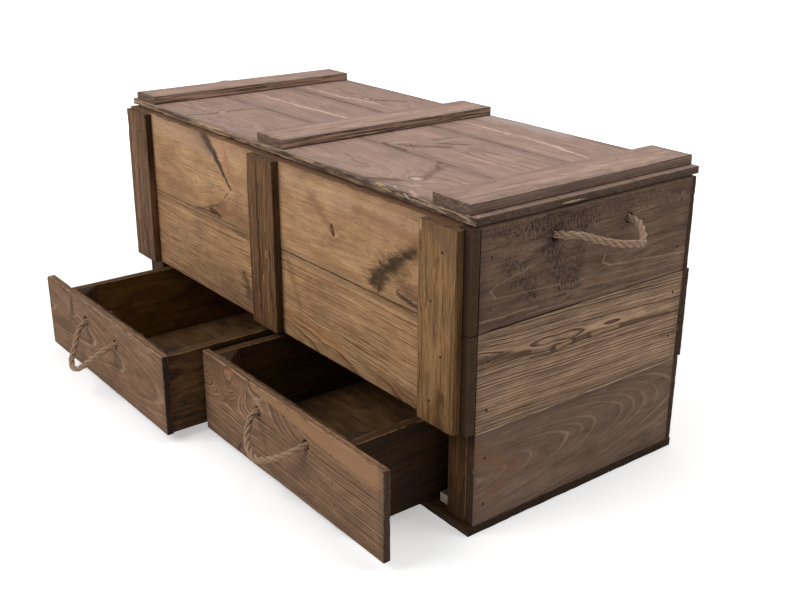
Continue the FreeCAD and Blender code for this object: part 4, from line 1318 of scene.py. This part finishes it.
# start, direction, length and tint of the torn pieces on the lid's edges
lidSlivers = [
    ((0.4845, -0.06, 0.455), (0, 1, -0.02), 0.045, (178, 154, 128)),
    ((0.28, -0.2102, 0.46), (1, 0, -0.1), 0.032, (192, 162, 118)),
    ((0.335, -0.2102, 0.4612), (1, 0, -0.34), 0.024, (202, 174, 152)),
    ((0.388, -0.2102, 0.4588), (1, 0, -0.14), 0.038, (198, 170, 148)),
    ((0.438, -0.2102, 0.4608), (1, 0, -0.14), 0.042, (202, 174, 152)),
]


def addSlivers():
    for number, (start, direction, length, tint) in enumerate(lidSlivers, 1):
        profile = [(length * share, wide) for share, wide in sliverProfile]
        sliver = turned(f"lidSliver{number}", start, direction, profile, 8)
        look = {
            **lidLook, "Seed": 130.0 + number, "Light": tint, "Dark": (104, 80, 60), "End Grain": tint,
            "Thread Contrast": 4.0, "Side Shade": 0.0,
        }
        wood = woodMaterial(f"sliverWood{number}", *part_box("lid_board_1"), "x", "+z", look)
        declare(sliver, wood, "lid", "lid_board")


cornerBlock = {"leg": 0.036, "bevel": 0.0012}


def cornerBlocks(side, look):
    node = f"{side}_drawer_corner_blocks"
    low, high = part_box(node)
    leg = cornerBlock["leg"]
    ways = ((1, 1), (-1, 1), (1, -1), (-1, -1))
    for number, (wayX, wayY) in enumerate(ways):
        x = low[0] if wayX > 0 else high[0]
        y = low[1] if wayY > 0 else high[1]
        mesh = bmesh.new()
        corners = [(x, y), (x + wayX * leg, y), (x, y + wayY * leg)]
        face = mesh.faces.new([mesh.verts.new((*corner, low[2])) for corner in corners])
        grown = bmesh.ops.extrude_face_region(mesh, geom=[face])
        for v in grown["geom"]:
            if isinstance(v, bmesh.types.BMVert):
                v.co.z = high[2]
        bmesh.ops.recalc_face_normals(mesh, faces=mesh.faces)
        width = cornerBlock["bevel"]
        bmesh.ops.bevel(mesh, geom=mesh.edges[:], offset=width, segments=2, profile=0.5, affect="EDGES")
        data = bpy.data.meshes.new(f"{side}CornerBlock{number + 1}")
        mesh.to_mesh(data)
        mesh.free()
        smooth(data, 35)
        box = [(*[pick(axis) for axis in zip(*corners)], z) for pick, z in ((min, low[2]), (max, high[2]))]
        wood = woodMaterial(data.name + "Wood", *box, "z", "+x", {**look, "Seed": look["Seed"] + number})
        declare(addObject(data.name, data), wood, f"{side}_drawer", "dark_frame", node)


bottomShades = {
    "Light": (118, 85, 54), "Dark": (54, 35, 20), "Grey": (92, 68, 46), "Ring Contrast": 0.3,
    "Line Contrast": 0.2, "Streak Contrast": 0.5,
}
edgeWear = {"Wear": 1.1, "Wear Reach": 0.0026, "Worn": (158, 120, 80)}
innerShades = {
    "left": {**edgeWear, "Light": (98, 68, 38), "Blotch Share": 1.2, "Speckle": 1.0, "Streak Contrast": 0.6},
    "right": {**edgeWear, "Light": (84, 58, 31)},
}
outerShades = {
    "left": {
        **edgeWear, "Light": (118, 80, 36), "Dark": (54, 33, 12), "Grey": (80, 54, 28),
        "Streak Contrast": 0.3, "Ring Contrast": 0.3, "Line Contrast": 0.2, "Thread Contrast": 1.2,
    }, "right": {**edgeWear, "Light": (58, 37, 18), "Dark": (24, 13, 5), "Grey": (40, 27, 15)},
}
for side, own in drawers.items():
    body = f"{side}_drawer"
    points = drawerRopes[side]
    seed = own["Seed"]
    cutters = [ropeHoles(side + part, points, (0, -1, 0), 0.020) for part in ("Front", "Box")]
    makeBoard(
        f"{side}DrawerFront", f"{body}_front", body, "drawer_board", "x", "-y", {**drawerLook, **own},
        cutters=cutters[0], reshape=wornCorner if side == "left" else None,
    )
    makeBoard(
        f"{side}BoxFront", f"{body}_box_front", body, "dark_frame", "x", "+y", {**darkLook, "Seed": seed + 1},
        cutters=cutters[1],
    )
    for number, (label, node, grain, out, shades) in enumerate((
        ("InnerSide", "inner_side", "y", "+x", innerShades[side]),
        ("OuterSide", "outer_side", "y", "+x", outerShades[side]),
        ("DrawerBack", "back", "x", "+y", {}),
        ("DrawerBottom", "bottom", "x", "+z", bottomShades),
    ), 2):
        look = {**darkLook, **shades, "Seed": seed + number}
        makeBoard(f"{side}{label}", f"{body}_{node}", body, "dark_frame", grain, out, look)
    cornerBlocks(side, {**darkLook, "Seed": seed + 10})
splinters(17)
addSlivers()
print("drawers done")


# Iron

iron = {"light": (70, 64, 60), "dark": (34, 30, 28), "rust": (92, 54, 32)}


def ironMaterial(name, look):
    material, tree = startMaterial(name)
    where = objectPlace(tree)
    fine = noiseAt(where, (420, 420, 420), (1, 2, 3), 3.0, 0.6)
    rusty = ramp(noiseAt(where, (90, 90, 90), (5, 1, 4), 3.0, 0.6), 0.48, 0.66)
    colour = mixed(fine, tone(look["dark"]), tone(look["light"]))
    finishMaterial(add(fine, rusty), 0.5, 0.0003, {
        "Base Color": mixed(mul(rusty, 0.8), colour, tone(look["rust"])),
        "Metallic": ramp(rusty, 0.0, 1.0, 0.85, 0.1),
        "Roughness": ramp(fine, 0.2, 0.8, 0.45, 0.8),
    })
    return material


agedIron = ironMaterial("agedIron", iron)
stainedIron = ironMaterial("stainedIron", {"light": (66, 50, 38), "dark": (34, 24, 16), "rust": (84, 54, 34)})
for name in ("hinge_case_leaves", "hinge_case_screws", "hinge_pins", "hinge_lid_leaves", "hinge_lid_screws"):
    nodes[name].data.materials.clear()
    nodes[name].data.materials.append(agedIron)


# Nail heads: hammered discs, level with the wood

nails = {
    "radius": 0.0023, "sides": 14, "rings": ((1.0, -0.0014), (1.0, -0.0001), (0.86, 0.0001), (0.45, 0.00015)),
    "spread": 0.011, "edgeShare": 0.25, "lidEdgeShare": 0.2, "stagger": 0.0055, "postMiddle": 0.456,
    "endFace": 0.490, "endDepth": 0.188, "floorSide": 0.483, "floorDepth": 0.2025, "sunk": 0.0005,
    "lean": 0.06, "uneven": (0.9, 1.06),
}


def nailHeads(name, node, body, spots, seed):
    chance = random.Random(seed)
    count = nails["sides"]
    points = []
    faces = []
    for spot, out in spots:
        axis = Vector(out)
        side = axis.orthogonal().normalized()
        up = axis.cross(side)
        lean = [chance.uniform(-nails["lean"], nails["lean"]) for _ in range(2)]
        wobble = [nails["radius"] * chance.uniform(*nails["uneven"]) for _ in range(count)]
        faces += tubeFaces(len(nails["rings"]), count, len(points))[0]
        for share, lift in nails["rings"]:
            for n, reach in enumerate(wobble):
                a = math.cos(math.tau * n / count) * reach * share
                b = math.sin(math.tau * n / count) * reach * share
                tilt = a * lean[0] + b * lean[1]
                points.append(Vector(spot) + side * a + up * b + axis * (lift + tilt))
    declare(meshPiece(name, points, faces, 40), stainedIron, body, "dark_iron", node)


def insetPair(box, axis, share=nails["edgeShare"]):
    start, end = box[0][axis], box[1][axis]
    return start + share * (end - start), end - share * (end - start)


caseSpots = []
lidSpots = []
for side in ("left", "centre", "right"):
    low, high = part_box(f"front_batten_{side}")
    middle = (low[0] + high[0]) / 2
    for level in ("lower", "upper"):
        for way, z in zip((-1, 1), insetPair(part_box(f"front_board_{level}"), 2)):
            caseSpots.append(((middle + way * nails["spread"], low[1], z), (0, -1, 0)))
for level in ("lower", "middle", "upper"):
    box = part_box(f"back_board_{level}")
    for z, way in itertools.product(insetPair(box, 2), (-1, 1)):
        caseSpots.append(((way * nails["postMiddle"], box[1][1], z), (0, 1, 0)))
        for depth in (-1, 1):
            spot = (way * nails["endFace"], depth * nails["endDepth"], z + depth * nails["stagger"])
            caseSpots.append((spot, (way, 0, 0)))
for number in range(1, 5):
    for way, y in itertools.product((-1, 1), insetPair(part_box(f"floor_plank_{number}"), 1)):
        inside = max(-nails["floorDepth"], min(y, nails["floorDepth"]))
        caseSpots.append(((way * nails["floorSide"], inside, nails["sunk"]), (0, 0, -1)))
for side in ("left", "centre", "right"):
    low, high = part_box(f"lid_batten_{side}")
    middle = (low[0] + high[0]) / 2
    for number in range(1, 4):
        for way, y in zip((-1, 1), insetPair(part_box(f"lid_board_{number}"), 1, nails["lidEdgeShare"])):
            lidSpots.append(((middle + way * nails["spread"], y, high[2] - nails["sunk"]), (0, 0, 1)))
nailHeads("caseNails", "case_nails", "case", caseSpots, 5)
nailHeads("lidNails", "lid_nails", "lid", lidSpots, 6)
print("iron done")


# Studio: each lamp's name, place, size, power and aim

studio = {"world": 0.30, "glowNear": 0.7, "glowFar": 1.9, "glowLow": 0.42, "floorHalf": 30, "lamps": [
    ("frontSoft", (-0.5, -2.4, 2.3), 1.7, 50, (0, 0, 0.2)),
    ("overSoft", (0.3, 0.5, 2.8), 1.8, 24, (0, 0, 0.3)),
    ("endSoft", (2.2, 1.2, 1.7), 1.2, 15, (0.4, 0, 0.2)),
]}


def addLamps(values):
    for name, place, width, power, aim in values["lamps"]:
        light = bpy.data.lights.new(name, "AREA")
        light.size = width
        light.energy = power
        addObject(name, light, place, (Vector(aim) - Vector(place)).to_track_quat("-Z", "Y").to_euler())


def seenShare(tree):  # 1 for rays that show the background
    path = put("LightPath", {}, tree).outputs
    return most(most(path["Is Camera Ray"], path["Is Glossy Ray"]), path["Is Transmission Ray"])


def addWorld(values):
    world = bpy.data.worlds.new("studio")
    bpy.context.scene.world = world
    world.use_nodes = True
    world.node_tree.nodes.clear()
    strength = ramp(seenShare(world.node_tree), 0.0, 1.0, values["world"], 1.0)
    glow = put("Background", {"Color": (1, 1, 1, 1), "Strength": strength})
    put("OutputWorld", {"Surface": glow.outputs[0]})


def addFloor(values):
    half = values["floorHalf"]
    corners = [(x * half, y * half, 0) for x, y in ((-1, -1), (1, -1), (1, 1), (-1, 1))]
    floor = meshPiece("studioFloor", corners, [(0, 1, 2, 3)])
    material, tree = startMaterial("paleFloor")
    where = objectPlace(tree)
    away = put("VectorMath", {0: where}, operation="LENGTH").outputs["Value"]
    lift = ramp(away, values["glowNear"], values["glowFar"], values["glowLow"], 1.0)
    grain = noiseAt(where, (60, 60, 60), (1, 1, 1), 2.0)
    shader = put("BsdfPrincipled", {
        "Base Color": mixed(grain, tone((238, 238, 238)), tone((246, 246, 246))), "Roughness": 0.9,
        "Specular IOR Level": 0.1,
    })
    glow = put("Emission", {"Color": (1, 1, 1, 1), "Strength": mul(lift, seenShare(tree))})
    both = put("AddShader", {0: shader.outputs[0], 1: glow.outputs[0]})
    put("OutputMaterial", {"Surface": both.outputs[0]})
    floor.data.materials.append(material)


addLamps(studio)
addWorld(studio)
addFloor(studio)
bpy.context.scene.view_settings.view_transform = "Standard"
print("studio done")
